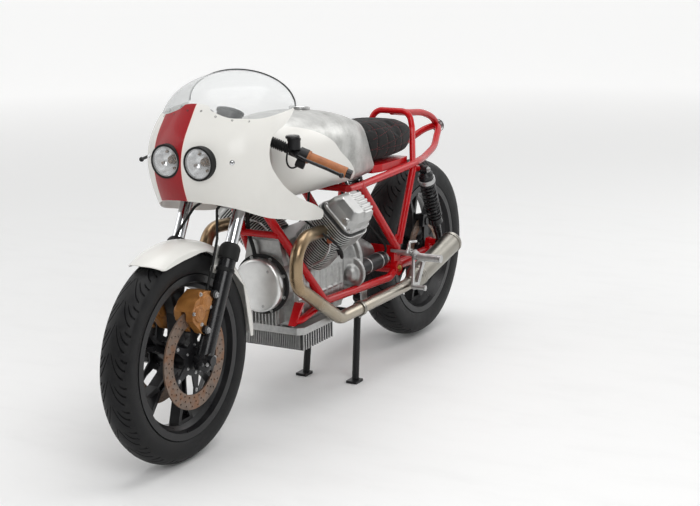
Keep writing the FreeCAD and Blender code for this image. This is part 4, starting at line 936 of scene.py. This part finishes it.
class MakeSeat(bpy.types.Operator):
    """Fill the seat cushion, sew it and lay its red stitches"""

    bl_idname = "motorcycle.seat"
    bl_label = "Seat"

    def execute(self, context):
        props = context.scene.seat_props
        mesh = self.filled(context.scene, props)
        lines = self.seams(surface_tree(mesh))
        spots = KDTree(sum(len(line) for line in lines))
        for i, p in enumerate(p for line in lines for p in line):
            spots.insert(p, i)
        spots.balance()
        reach, depth = 0.010, 0.0022
        normals = [v.normal.copy() for v in mesh.vertices]
        for vert, normal in zip(mesh.vertices, normals):
            gap = spots.find(vert.co)[2]
            if gap < reach:
                vert.co -= normal * depth * (1 - gap / reach) ** 2
        cushion = add_piece(mesh, "seat_fabric", replaced=("seat_pad",), crisp=70)
        self.stitches(surface_tree(cushion.data), lines, props.stitch)
        return {"FINISHED"}

    def filled(self, scene, props):
        """The seat's own solid drawn in a little, remeshed and swollen by the cloth solver."""
        base = melted(NODES["seat_pad"].data.copy(), "seat_cushion", 5, 6)
        inset = 0.005
        foot_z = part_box("seat_pad")[0].z + 0.010
        frames = 20
        moves = [v.normal.copy() for v in base.vertices]
        for vert, normal in zip(base.vertices, moves):
            vert.co -= normal * inset
        rest = [v.co.copy() for v in base.vertices]
        pad = bpy.data.objects.new("seat_swelling", base)
        scene.collection.objects.link(pad)
        held = pad.vertex_groups.new(name="held")
        held.add([v.index for v in base.vertices if v.co.z < foot_z], 1.0, "REPLACE")
        cloth = pad.modifiers.new("swell", "CLOTH")
        settings = {"quality": 6, "mass": 0.3, "tension_stiffness": 20, "compression_stiffness": 20,
                    "shear_stiffness": 8, "bending_stiffness": 2, "use_pressure": True,
                    "uniform_pressure_force": props.pressure, "vertex_group_mass": "held"}
        for setting, value in settings.items():
            setattr(cloth.settings, setting, value)
        cloth.settings.effector_weights.gravity = 0.0
        cloth.point_cache.frame_start = 1
        cloth.point_cache.frame_end = frames
        for number in range(1, frames + 1):
            scene.frame_set(number)
        swollen = evaluated_mesh(pad, "seat_swollen")
        for vert, home, moved in zip(base.vertices, rest, swollen.vertices):
            step = moved.co - home
            if step.length > props.swell:
                step *= props.swell / step.length
            vert.co = home + step
        bpy.data.objects.remove(pad)
        bpy.data.meshes.remove(swollen)
        scene.frame_set(1)
        holder = bpy.data.objects.new("seat_fine", base)
        scene.collection.objects.link(holder)
        divide = holder.modifiers.new("fine", "SUBSURF")
        divide.levels = 1
        fine = evaluated_mesh(holder, "seat_cushion")
        bpy.data.objects.remove(holder)
        return fine

    def seams(self, tree):
        """Sewn lines over the cushion: some run across it and some sweep along it."""
        core = 0.800
        far = 0.4

        def outside(y, across, rise):
            out = Vector((across, 0, rise))
            return tree.ray_cast(Vector((0, y, core)) + out * far, -out)[0]

        lines = []
        for y in (0.300, 0.352, 0.408, 0.462):
            turns = [math.radians(-35 + 250 * k / 89) for k in range(90)]
            lines.append([outside(y + 0.006 * math.sin(3 * a + y * 40), math.cos(a), math.sin(a))
                          for a in turns])
        for start, end in ((-12, 8), (6, 34), (28, 22), (66, 60), (-12, -14)):
            for side in (1, -1):
                line = []
                for k in range(70):
                    a = math.radians(start + (end - start) * k / 69)
                    line.append(outside(0.258 + 0.285 * k / 69, side * math.cos(a), math.sin(a)))
                lines.append(line)
        return [[spot for spot in line if spot] for line in lines]

    def stitches(self, tree, lines, length):
        """Short threads along each seam, with a gap between them."""
        grain = 0.0015
        shape = bmesh.new()
        for line in lines:
            travelled = 0.0
            current = []
            for one, two in zip(line, line[1:]):
                step = (two - one).length
                steps = max(1, int(step / grain))
                for k in range(steps):
                    travelled += step / steps
                    p = one.lerp(two, (k + 1) / steps)
                    if travelled % (length * 1.5) < length:
                        current.append(p)
                    elif current:
                        self.thread(shape, tree, current)
                        current = []
        add_piece(mesh_of("seat_stitches", shape), "red_thread")

    def thread(self, shape, tree, points):
        if len(points) < 3:
            return
        line = []
        for i, p in enumerate(points[::2]):
            spot, normal = tree.find_nearest(p)[:2]
            ends = i == 0 or i == len(points[::2]) - 1
            line.append(spot + normal * (-0.0002 if ends else 0.0005))
        if len(line) > 1:
            add_tube(shape, line, 0.0006, 5)


class MakeLamps(bpy.types.Operator):
    """Fit reflectors, bulbs and lenses to the two headlamps"""

    bl_idname = "motorcycle.lamps"
    bl_label = "Headlamps"

    def execute(self, context):
        shapes = Shapes()
        bowl = [(0, 0), (0, 13), (3, 20), (9, 28), (18, 35), (30, 40.5), (40, 43.4), (41, 43.9), (38, 43.9),
                (26, 40.4), (12, 32.5), (0, 22), (-2, 14), (-2, 0)]
        bulb = [(0, 0), (0, 14), (8, 14), (10, 13), (10, 9), (22, 8), (24, 6), (25, 0)]
        collar = [(10, 9.2), (10, 12), (14, 12.5), (18, 11), (18, 9.2)]
        lens = [(41, 43.9), (43, 43.9), (45, 42), (48.5, 34), (51, 22), (52, 10), (52.2, 0), (50.2, 0),
                (50, 10), (49, 22), (46.6, 34), (43.4, 41.6), (41, 42.4)]
        trim = [(36, 44), (44, 44), (46, 43.2), (46, 42), (43, 42.4), (36, 42.6)]
        stud = [(-4, 0), (-4, 4.5), (3, 4.5), (5, 3), (5, 0)]
        for side in (1, -1):
            back = place(side * 57, -652, 876)
            add_lathe(shapes["lamp_bowls"], bowl, back, FRONT, 64)
            add_lathe(shapes["lamp_bulbs"], bulb, back, FRONT, 32)
            add_lathe(shapes["lamp_bulbs"], collar, back, FRONT, 32)
            add_lathe(shapes["lamp_lenses"], lens, back, FRONT, 64)
            add_lathe(shapes["lamp_trims"], trim, back, FRONT, 64)
            for angle, r in ((-62, 26), (118, 27), (200, 30)):
                add_lathe(shapes["lamp_bulbs"], stud, back + round_y(angle, r, -17), FRONT, 20)
        add_piece(mesh_of("lamp_lenses", shapes["lamp_lenses"]), "lamp_glass", replaced=("headlamps",))
        shapes.add(lamp_bowls="reflector", lamp_bulbs="amber_bulb", lamp_trims="plain_steel")
        return {"FINISHED"}


class MakeScreenTrim(bpy.types.Operator):
    """Fit the screen's flange bolts, its edge bead and the fairing's bolts"""

    bl_idname = "motorcycle.screen_trim"
    bl_label = "Screen trim"

    def execute(self, context):
        screen = surface_tree(NODES["windscreen"].data)
        fairing = surface_tree(NODES["fairing"].data)
        inside = place(0, -400, 900)
        places = []
        for x, y, z in ((191, -420, 994), (190, -478, 989), (178, -530, 985), (152, -575, 985),
                        (116, -604, 989), (71, -618, 999), (23, -616, 1011)):
            for side in (1, -1):
                spot, normal = fairing.find_nearest(place(side * x, y, z))[:2]
                if normal.dot(spot - inside) < 0:
                    normal = -normal
                places.append((spot, normal, 3.6, 2.6))
        fasteners("screen_bolts", places, "black_alloy")
        for side, name in ((1, "left"), (-1, "right")):
            spot, normal = fairing.find_nearest(place(side * 145, -654, 879))[:2]
            outward = normal if normal.y < 0 else -normal
            fasteners("fairing_bolt_" + name, [(spot, outward, 5.6, 3.0)], "hard_chrome")
        foot_z = 1.004
        rim = []
        for k in range(49):
            t = math.pi * k / 48
            guess = Vector((0.190 * math.cos(t), -0.376, 1.010 + 0.101 * math.sin(t)))
            spot = screen.find_nearest(guess)[0]
            if spot.z > foot_z:
                rim.append(spot)
        shapes = Shapes()
        add_tube(shapes["screen_edge"], rim, 0.0026, 8)
        shapes.add(screen_edge="black_rubber")
        return {"FINISHED"}


class MakeInstruments(bpy.types.Operator):
    """Lay dial faces, marks, needles and glasses in both instruments"""

    bl_idname = "motorcycle.instruments"
    bl_label = "Instruments"

    def execute(self, context):
        up = Vector((0, 0.5, 1)).normalized()
        along = up.cross(LEFT).normalized()
        shapes = Shapes()
        marks = shapes["dial_marks"]

        def on_dial(base, degrees, r, height):
            t = math.radians(degrees)
            return base + (up * height + (LEFT * math.cos(t) - along * math.sin(t)) * r) * MM

        for side, needle in ((1, 215), (-1, 205)):
            base = place(side * 54, -537, 968)
            add_lathe(shapes["dial_faces"], [(39.1, 0), (39.1, 34.8), (39.8, 34.8), (39.8, 0)], base, up, 48)
            add_lathe(shapes["dial_glasses"], [(40.4, 0), (40.4, 35.8), (41.4, 35.8), (41.8, 30), (41.8, 0)],
                      base, up, 48)
            for k in range(31):
                inner, wire = (25, 0.0007) if k % 5 == 0 else (28.5, 0.0004)
                angle = 225 - 270 * k / 30
                add_tube(marks, [on_dial(base, angle, inner, 40.0), on_dial(base, angle, 32, 40.0)], wire, 4)
            add_tube(marks, [on_dial(base, needle, -6, 40.2), on_dial(base, needle, 27, 40.2)], 0.0008, 6)
            add_lathe(marks, [(39.6, 0), (39.6, 4), (41.0, 3), (41.0, 0)], base, up, 20)
        shapes.add(dial_faces="dial_face", dial_marks="dial_ink", dial_glasses="dial_glass")
        return {"FINISHED"}


class MakeControls(bpy.types.Operator):
    """Fit the bar sleeves, switch buttons, cable loops, clamp bolts and reservoir caps"""

    bl_idname = "motorcycle.controls"
    bl_label = "Bar controls"

    def execute(self, context):
        shapes = Shapes()
        bolts = []
        sleeve = [(30, 11), *ribs(9, 32, 6.5, ((0, 12.5), (0.8, 16.5), (3.6, 16.5), (4.4, 12.5))),
                  (92, 12.5), (93, 15), (100, 15), (101, 11)]
        button = [(0, 0), (0, 10), (2, 12), (26, 12), (28, 10), (28, 0)]
        cap = [(31, 0), (31, 20.8), (33, 21.4), (37, 21.4), (39, 19), (39.5, 0)]
        loop = ((104, 10, -8), (108, 16, -30), (122, 20, -48), (140, 18, -46), (152, 14, -28), (150, 8, -8))
        for side in (1, -1):
            axis = bar_axis(side)
            add_lathe(shapes["bar_sleeves"], sleeve, on_bar(side, 0), axis, 28)
            add_tube(shapes["bar_loops"], smooth_line([on_bar(side, *at) for at in loop], 4), 0.0028, 8)
            add_lathe(shapes["bar_sleeves"], button, on_bar(side, 138, 12, -26), axis, 24)
            for t in (112, 138):
                bolts.append((on_bar(side, t, -12, 15), BAR_UP, 3.0, 3.0))
            pot = on_bar(side, 116, 18, 10)
            add_lathe(shapes["reservoir_caps"], cap, pot, UP, 36)
            for angle in (45, 225):
                bolts.append((pot + round_z(angle, 15, 39), UP, 2.6, 1.6))
        shapes.add("fork_assembly", bar_sleeves="black_rubber", bar_loops="black_rubber",
                   reservoir_caps="black_alloy")
        fasteners("control_bolts", bolts, body="fork_assembly")
        return {"FINISHED"}


class MakeFork(bpy.types.Operator):
    """Fit the fork's seals, caps, lug bolts and axle clamps"""

    bl_idname = "motorcycle.fork"
    bl_label = "Fork fittings"

    def execute(self, context):
        shapes = Shapes()
        bolts = []
        seal = [(300, 26), (302, 30.2), (306, 30.8), (336, 30.8), (342, 28), (347, 24), (350, 20.5),
                (350, 19.2)]
        band = [(262, 25.5), (263, 27.6), (266, 28.0), (271, 28.0), (274, 27.4), (275, 25.5)]
        cap = [(713, 0), (713, 18.6), (716, 18.6), (718, 16), (718, 10), (722, 9), (722, 0)]
        for side in (1, -1):
            leg = fork_place(side * 95, 0)
            add_lathe(shapes["fork_seals"], seal, leg, UP_FORK, 48)
            add_lathe(shapes["fork_seals"], band, leg, UP_FORK, 48)
            add_lathe(shapes["fork_caps"], cap, leg, UP_FORK, 36)
            for x, up, back, r, height in ((106, 82, -28, 7.0, 5.0), (106, 188, -28, 7.0, 5.0),
                                           (119.5, -14, -14, 4.4, 4.0), (119.5, 14, 14, 4.4, 4.0)):
                bolts.append((fork_place(side * x, up, back), LEFT * side, r, height))
        shapes.add("fork_assembly", fork_seals="black_rubber", fork_caps="machined_alloy")
        fasteners("fork_bolts", bolts, body="fork_assembly")
        return {"FINISHED"}


class MakeBrakes(bpy.types.Operator):
    """Cast the calipers with their covers and bolts, and pin the discs to their carriers"""

    bl_idname = "motorcycle.brakes"
    bl_label = "Brakes"

    def execute(self, context):
        def lobes(shape):
            ear = [(0, 0), (0, 9), (6, 9), (6, 0)]
            for side in (1, -1):
                for up, back, r in ((118, -82, 24), (156, -60, 22)):
                    add_lathe(shape, [(0, 0), (0, r), (8, r), (10, r - 3), (10, 0)],
                              fork_place(side * 92, up, back), LEFT * side, 40)
                for up, back in ((170, -100), (92, -60)):
                    add_lathe(shape, ear, fork_place(side * 94, up, back), LEFT * side, 20)

        add_casting("front_calipers", "caliper_bodies", "bronze_alloy", 2.0, 3, "fork_assembly", lobes)
        shapes = Shapes()
        bolts = []
        pins = []
        for side in (1, -1):
            out = LEFT * side
            for up, back, r in ((118, -82, 17), (156, -60, 15)):
                cover = [(0, 0), (0, r + 2.5), (1.6, r + 2), (1.6, r), (0.6, r - 1), (0.6, r - 4),
                         (2.0, r - 5), (2.0, 0)]
                add_lathe(shapes["caliper_covers"], cover, fork_place(side * 102.2, up, back), out, 36)
            for up, back, face in ((149, -38, 99), (170, -100, 99.5), (92, -60, 99.5), (110, -106, 98)):
                bolts.append((fork_place(side * face, up, back), out, 4.6, 4.4))
            for angle in range(30, 390, 60):
                for ring_r, r in ((94, 4.4), (42, 3.6)):
                    pins.append((FRONT_AXLE + round_x(angle, ring_r, side * 64.5), out, r, 2.6))
        shapes.add("fork_assembly", caliper_covers="bronze_alloy")
        fasteners("caliper_bolts", bolts, body="fork_assembly")
        fasteners("front_disc_pins", pins, body="front_wheel")
        rear = [(REAR_AXLE + round_x(angle, 51, 55), LEFT, 3.6, 2.6) for angle in range(30, 390, 60)]
        fasteners("rear_disc_pins", rear, body="rear_wheel")
        return {"FINISHED"}


class MakeEngine(bpy.types.Operator):
    """Cast the engine's cases, turn its covers and fit their bolts"""

    bl_idname = "motorcycle.engine"
    bl_label = "Engine"

    def execute(self, context):
        def webs(shape):
            for side in (1, -1):
                low, high = sorted((side * 92, side * 100))
                for y in (-208, -170, -132, -94, -56, -18, 20, 46):
                    add_block(shape, (low, y, 306), (high, y + 4, 436))
                add_block(shape, (low, -232, 366), (high, 60, 370))
                low, high = sorted((side * 60, side * 96))
                for y in (-190, -30):
                    add_block(shape, (low, y, 440), (high, y + 4, 470))

        add_casting("crankcase", "crankcase_casting", "cast_alloy", 3.1, 3, extras=webs)
        add_casting("gearbox", "gearbox_casting", "cast_alloy", 3.0, 4)
        add_casting("rocker_covers", "rocker_castings", "bright_cast", 2.3, 3)
        add_casting("final_drive", "final_drive_casting", "cast_alloy", 2.2, 3)
        shapes = Shapes()
        centre = place(0, -290, CRANK_Z)
        drum = [(0.5, 0), (0.5, 86), (26, 86), (29, 85.2), (32, 83), (34, 79.5), (35, 74), (35.6, 50),
                (36, 24), (36, 0)]
        # A thin black ring round the drum: partly a gasket, partly painted shade that stands for the shadow
        # on the timing cover's edge.
        gasket_and_shade = [(-6, 85), (-6, 96.8), (3, 96.8), (4, 95), (4, 85)]
        add_lathe(shapes["alternator_drum"], drum, centre, FRONT, 96)
        add_piece(mesh_of("alternator_drum", shapes["alternator_drum"]), "polished_alloy",
                  replaced=("alternator_cover",), crisp=55)
        add_lathe(shapes["alternator_gasket"], gasket_and_shade, centre, FRONT, 96)
        shapes.add(alternator_gasket="black_rubber")
        for k in range(25):
            x = -85.4 + 7 * k
            add_block(shapes["sump_front_fins"], (x, -246, 213), (x + 2.8, -236, 262))
        add_piece(mesh_of("sump_front_fins", shapes["sump_front_fins"]), "cast_alloy", crisp=30)
        bolts = [(centre + round_y(angle, 66, -35), FRONT, 3.6, 2.4) for angle in (50, 170, 290)]
        bolts += [(centre + round_y(22.5 + 45 * k, 91.5, -3), FRONT, 3.4, 3.0) for k in range(8)]
        bolts += [(place(x, y, 262), -UP, 4.0, 4.0) for x in (-112, 112)
                  for y in (-232, -184, -136, -88, -48)]
        bolts += [(place(x, -250, 285), UP, 4.0, 4.0) for x in (-84, -42, 0, 42, 84)]
        for side in (1, -1):
            lean_up = Vector((side * LEAN, 0, LEAN))
            bolts += [(on_cylinder(side, u, v, 298), lean_up, 4.0, 4.6) for u in (-56, 56) for v in (-60, 60)]
            bolts.append((on_cylinder(side, 30, -68, 314), Vector((0, -1, -0.2)), 6.4, 2.2))
        fasteners("engine_bolts", bolts)
        pivots = [(place(side * 136, 388, 346), LEFT * side, 9.0, 6.0) for side in (1, -1)]
        fasteners("pivot_nuts", pivots, "brass", kind=add_nut)
        return {"FINISHED"}


class MakePlumbing(bpy.types.Operator):
    """Run the plug leads, oil lines, breather and fuel hoses"""

    bl_idname = "motorcycle.plumbing"
    bl_label = "Leads and hoses"

    def execute(self, context):
        shapes = Shapes()
        plug = [(-2, 0), (-2, 10), (4, 10.5), (6, 8.5), (22, 8), (24, 6), (24, 0)]
        union = [(-4, 0), (-4, 8.5), (0, 8.5), (1, 9.5), (9, 9.5), (10, 8), (13, 8), (13, 0)]

        def run(name, r, points, sides=8):
            add_tube(shapes[name], smooth_line(points, 4), r, sides)

        for side in (1, -1):
            cap = on_cylinder(side, 64, -34, 214)
            axis = (on_cylinder(side, 84, -40, 208) - cap).normalized()
            add_lathe(shapes["plug_leads"], plug, cap, axis, 24)
            run("plug_leads", 0.0036, [
                cap + axis * 0.022, cap + axis * 0.045, on_cylinder(side, 98, -74, 240),
                on_cylinder(side, 60, -112, 268), place(side * 92, -226, 640), place(side * 40, -210, 700)])
            banjo = on_cylinder(side, 40, -80, 237)
            add_lathe(shapes["oil_unions"], union, banjo, FRONT, 24)
            run("oil_lines", 0.0032, [
                banjo + FRONT * 0.006, banjo + place(side * 4, -10, -26), on_cylinder(side, 62, -86, 196),
                on_cylinder(side, 66, -70, 150), on_cylinder(side, 40, -60, 110),
                place(side * 92, -150, 440)])
            run("engine_hoses", 0.0045, [
                place(side * 135, CYLINDER_Y[side] + 118, 548),
                place(side * 134, CYLINDER_Y[side] + 120, 520), place(side * 100, 120, 520),
                place(side * 70, 130, 590), place(side * 60, 110, 700)])
        run("engine_hoses", 0.0065, [
            place(-24, -292, 520), place(-26, -296, 548), place(-44, -290, 572), place(-48, -288, 610),
            place(-44, -300, 660), place(-30, -310, 720)], 10)
        run("engine_hoses", 0.0045, [
            place(96, 344, 396), place(112, 352, 420), place(96, 330, 460), place(60, 280, 520),
            place(40, 220, 640), place(30, 190, 690)])
        shapes.add(plug_leads="black_rubber", oil_lines="plain_steel", oil_unions="copper",
                   engine_hoses="black_rubber")
        return {"FINISHED"}


class MakeExhaust(bpy.types.Operator):
    """Fit port nuts, clamps and silencer seams"""

    bl_idname = "motorcycle.exhaust"
    bl_label = "Exhaust fittings"

    def execute(self, context):
        shapes = Shapes()
        bolts = []
        nut = [(0, 22), *ribs(3, 0, 6, ((0.5, 30.5), (3.6, 30.5), (4.2, 27), (6, 27))), (18.5, 22)]
        clamp = [(0, 21.5), (0, 25), (1, 26), (5, 26), (6, 24.6), (10, 24.6), (11, 26), (15, 26), (16, 25),
                 (16, 21.5)]
        for side in (1, -1):
            port = place(side * 161, CYLINDER_Y[side] - 74, 591)
            add_lathe(shapes["port_nuts"], nut, port, (-side, 14, 0), 48)
            joint = place(side * 150.4, 64, 277.5)
            add_lathe(shapes["exhaust_clamps"], clamp, joint, (0, 1, 0), 48)
            bolts.append((joint + place(0, 8, -28), LEFT * side, 3.4, 5.0))
            for at, r in ((14, 25.5), (60, 38.6), (296, 38.6)):
                seam = [(at, r - 1), (at, r + 0.8), (at + 1, r + 1.6), (at + 5, r + 1.6), (at + 6, r + 0.8),
                        (at + 6, r - 1)]
                add_lathe(shapes["exhaust_clamps"], seam, place(side * 165, 406, 290),
                          (side * 0.10, 1, 0.33), 56)
        shapes.add(port_nuts="black_alloy", exhaust_clamps="stainless")
        fasteners("clamp_bolts", bolts)
        return {"FINISHED"}


class MakeRearFittings(bpy.types.Operator):
    """Fit shock bolts, axle nuts, footrest sleeves, starter bands and the tail lamp's rim"""

    bl_idname = "motorcycle.rear_fittings"
    bl_label = "Rear fittings"

    def execute(self, context):
        shapes = Shapes()
        bolts = []
        peg = [(6, 12), *ribs(14, 10, 5.6, ((0, 12.1), (0.8, 13.1), (3.4, 13.1), (4.2, 12.1))), (90, 12)]
        for side in (1, -1):
            out = LEFT * side
            bolts.append((place(side * 166, 556, 672), out, 8.0, 7.0))
            bolts.append((REAR_AXLE + place(side * 151, -34.5, 38), out, 8.0, 7.0))
            for y, z in ((380, 284), (444, 366), (360, 410)):
                bolts.append((place(side * 208, y, z), out, 4.0, 3.4))
            add_lathe(shapes["peg_sleeves"], peg, place(side * 204, 381, 396), out, 28)
        fasteners("rear_bolts", bolts)
        fasteners("axle_nuts", [(REAR_AXLE + place(122, 0, 0), LEFT, 13.0, 10.0),
                                (REAR_AXLE + place(-124, 0, 0), -LEFT, 11.0, 6.0)], kind=add_nut)
        motor = place(96, 118, 387)
        for at in (24, 92, 176):
            band = [(at, 27.5), (at, 28.6), (at + 1, 29.2), (at + 5, 29.2), (at + 6, 28.6), (at + 6, 27.5)]
            add_lathe(shapes["starter_bands"], band, motor, (0, 1, 0), 40)
        end = [(208, 20), (208, 24.4), (224.4, 24.2), (226, 22), (226, 0)]
        add_lathe(shapes["starter_bands"], end, motor, (0, 1, 0), 40)
        add_lathe(shapes["tail_lamp_rim"], [(1, 24.1), (3, 25), (7, 25), (9, 24), (9, 22.8)],
                  NODES["tail_lamp"].matrix_world @ place(0, 974.7, 765), (0, 1, 0.1), 40)
        shapes.add(peg_sleeves="machined_alloy", starter_bands="machined_alloy",
                   tail_lamp_rim="black_plastic")
        return {"FINISHED"}


class MakeStage(bpy.types.Operator):
    """Lay the pale floor, hang the lamps and set the camera"""

    bl_idname = "motorcycle.stage"
    bl_label = "Stage"

    def execute(self, context):
        scene = context.scene
        self.lay_floor(scene)
        self.hang_lamps(scene)
        self.light_world(scene)
        self.place_camera(scene)
        scene.view_settings.view_transform = "Standard"
        return {"FINISHED"}

    def lay_floor(self, scene):
        """A wide pale floor that glows a little far from the machine, where the lamps don't reach."""
        s = Surface("studio_floor")
        scuff = s.noise(3.0, 8.0, 0.62, stretch=(1, 3, 1))
        pale = s.ramp(scuff, (0.25, (0.83, 0.83, 0.825)), (0.5, (0.86, 0.86, 0.855)),
                      (0.8, (0.87, 0.87, 0.865)))
        away = s.node("ShaderNodeVectorMath", operation="LENGTH")
        s.feed(s.coords(), away.inputs[0])
        s.set(base_color=pale, roughness=s.drift(scuff, 0.55, 0.7), emission_color=(1.0, 1.0, 0.995),
              emission_strength=s.span(away.outputs["Value"], 1.5, 9.0, 0.0, 0.50))
        s.bump(s.noise(60.0), 0.3)
        reach = 40.0
        just_under = -0.0005
        mesh = grid_mesh("studio_floor", [[(x, y, just_under) for x in (-reach, reach)]
                                          for y in (-reach, reach)])
        mesh.materials.append(s.made)
        self.put(scene, "studio_floor", mesh)

    def hang_lamps(self, scene):
        heart = Vector((0, 0, 0.5))
        lamps = (("key", (3.4, -3.2, 3.4), 2.6, 95.0), ("fill", (-4.2, -2.4, 2.6), 3.0, 36.0),
                 ("top", (0.2, 0.2, 4.4), 3.6, 105.0), ("rear", (2.4, 4.0, 2.8), 2.4, 34.0))
        for name, spot, size, power in lamps:
            lamp = bpy.data.lights.new("lamp_" + name, "AREA")
            lamp.shape = "SQUARE"
            lamp.size = size
            lamp.energy = power * scene.stage_props.lamp_level
            made = self.put(scene, "lamp_" + name, lamp)
            made.location = spot
            made.rotation_mode = "QUATERNION"
            made.rotation_quaternion = (heart - Vector(spot)).to_track_quat("-Z", "Y")

    def put(self, scene, name, data):
        made = bpy.data.objects.new(name, data)
        scene.collection.objects.link(made)
        return made

    def light_world(self, scene):
        """White where it is seen; a studio that grows darker behind the camera where it is mirrored."""
        world = bpy.data.worlds.new("studio")
        scene.world = world
        world.use_nodes = True
        w = Wiring(world.node_tree)
        background = w.tree.nodes["Background"].inputs
        w.feed((1.0, 1.0, 1.0), background["Color"])
        lit_side = (-0.47, 0.83, 0.30)
        towards = w.node("ShaderNodeVectorMath", operation="DOT_PRODUCT")
        towards.inputs[1].default_value = lit_side
        w.feed(w.node("ShaderNodeTexCoord").outputs["Generated"], towards.inputs[0])
        mirror_level = w.span(towards.outputs["Value"], -0.45, 0.35, 0.16, 0.95)
        path = w.node("ShaderNodeLightPath").outputs
        glossy = w.math("MAXIMUM", path["Is Glossy Ray"], path["Is Transmission Ray"])
        level = w.plus(w.times(glossy, mirror_level), w.times(w.minus(1.0, glossy), 0.42))
        unseen = w.minus(1.0, path["Is Camera Ray"])
        w.feed(w.plus(w.times(unseen, level), path["Is Camera Ray"]), background["Strength"])

    def place_camera(self, scene):
        """The camera that took the photograph, solved from the photo's own points."""
        data = bpy.data.cameras.new("camera")
        data.sensor_width = 36.0
        data.lens = scene.stage_props.lens
        data.clip_start = 0.05
        data.clip_end = 60.0
        camera = bpy.data.objects.new("camera", data)
        scene.collection.objects.link(camera)
        yaw, pitch, roll = (math.radians(angle) for angle in (-29.34, -12.87, -0.9))
        ahead = Vector((math.sin(yaw) * math.cos(pitch), math.cos(yaw) * math.cos(pitch), math.sin(pitch)))
        level = Vector((math.cos(yaw), -math.sin(yaw), 0))
        upright = level.cross(ahead)
        right = level * math.cos(roll) + upright * math.sin(roll)
        up = upright * math.cos(roll) - level * math.sin(roll)
        turn = Matrix((right, up, -ahead)).transposed().to_4x4()
        camera.matrix_world = Matrix.Translation((2.489, -4.150, 1.570)) @ turn
        scene.camera = camera


class MotorcyclePanel(bpy.types.Panel):
    """Buttons that make the looks, in their order"""

    bl_idname = "VIEW3D_PT_motorcycle"
    bl_label = "Motorcycle looks"
    bl_space_type = "VIEW_3D"
    bl_region_type = "UI"
    bl_category = "Motorcycle"

    def draw(self, context):
        for operator in OPERATORS:
            self.layout.operator(operator.bl_idname)
        for group in PROPERTY_GROUPS:
            settings = getattr(context.scene, group)
            for name in settings.__annotations__:
                self.layout.prop(settings, name)


OPERATORS = (MakeFinishes, MakeTyres, MakeShocks, MakeSeat, MakeLamps, MakeScreenTrim, MakeInstruments,
             MakeControls, MakeFork, MakeBrakes, MakeEngine, MakePlumbing, MakeExhaust, MakeRearFittings,
             MakeStage)
PROPERTY_GROUPS = {
    "finish_props": FinishProps,
    "tyre_props": TyreProps,
    "spring_props": SpringProps,
    "seat_props": SeatProps,
    "stage_props": StageProps,
}


def register():
    for group in PROPERTY_GROUPS.values():
        bpy.utils.register_class(group)
    for name, group in PROPERTY_GROUPS.items():
        setattr(bpy.types.Scene, name, bpy.props.PointerProperty(type=group))
    for operator in OPERATORS:
        bpy.utils.register_class(operator)
    bpy.utils.register_class(MotorcyclePanel)


def unregister():
    bpy.utils.unregister_class(MotorcyclePanel)
    for operator in reversed(OPERATORS):
        bpy.utils.unregister_class(operator)
    for name, group in PROPERTY_GROUPS.items():
        delattr(bpy.types.Scene, name)
        bpy.utils.unregister_class(group)


def main():
    register()
    for operator in OPERATORS:
        group, call = operator.bl_idname.split(".")
        getattr(getattr(bpy.ops, group), call)()


if __name__ == "__main__":
    main()
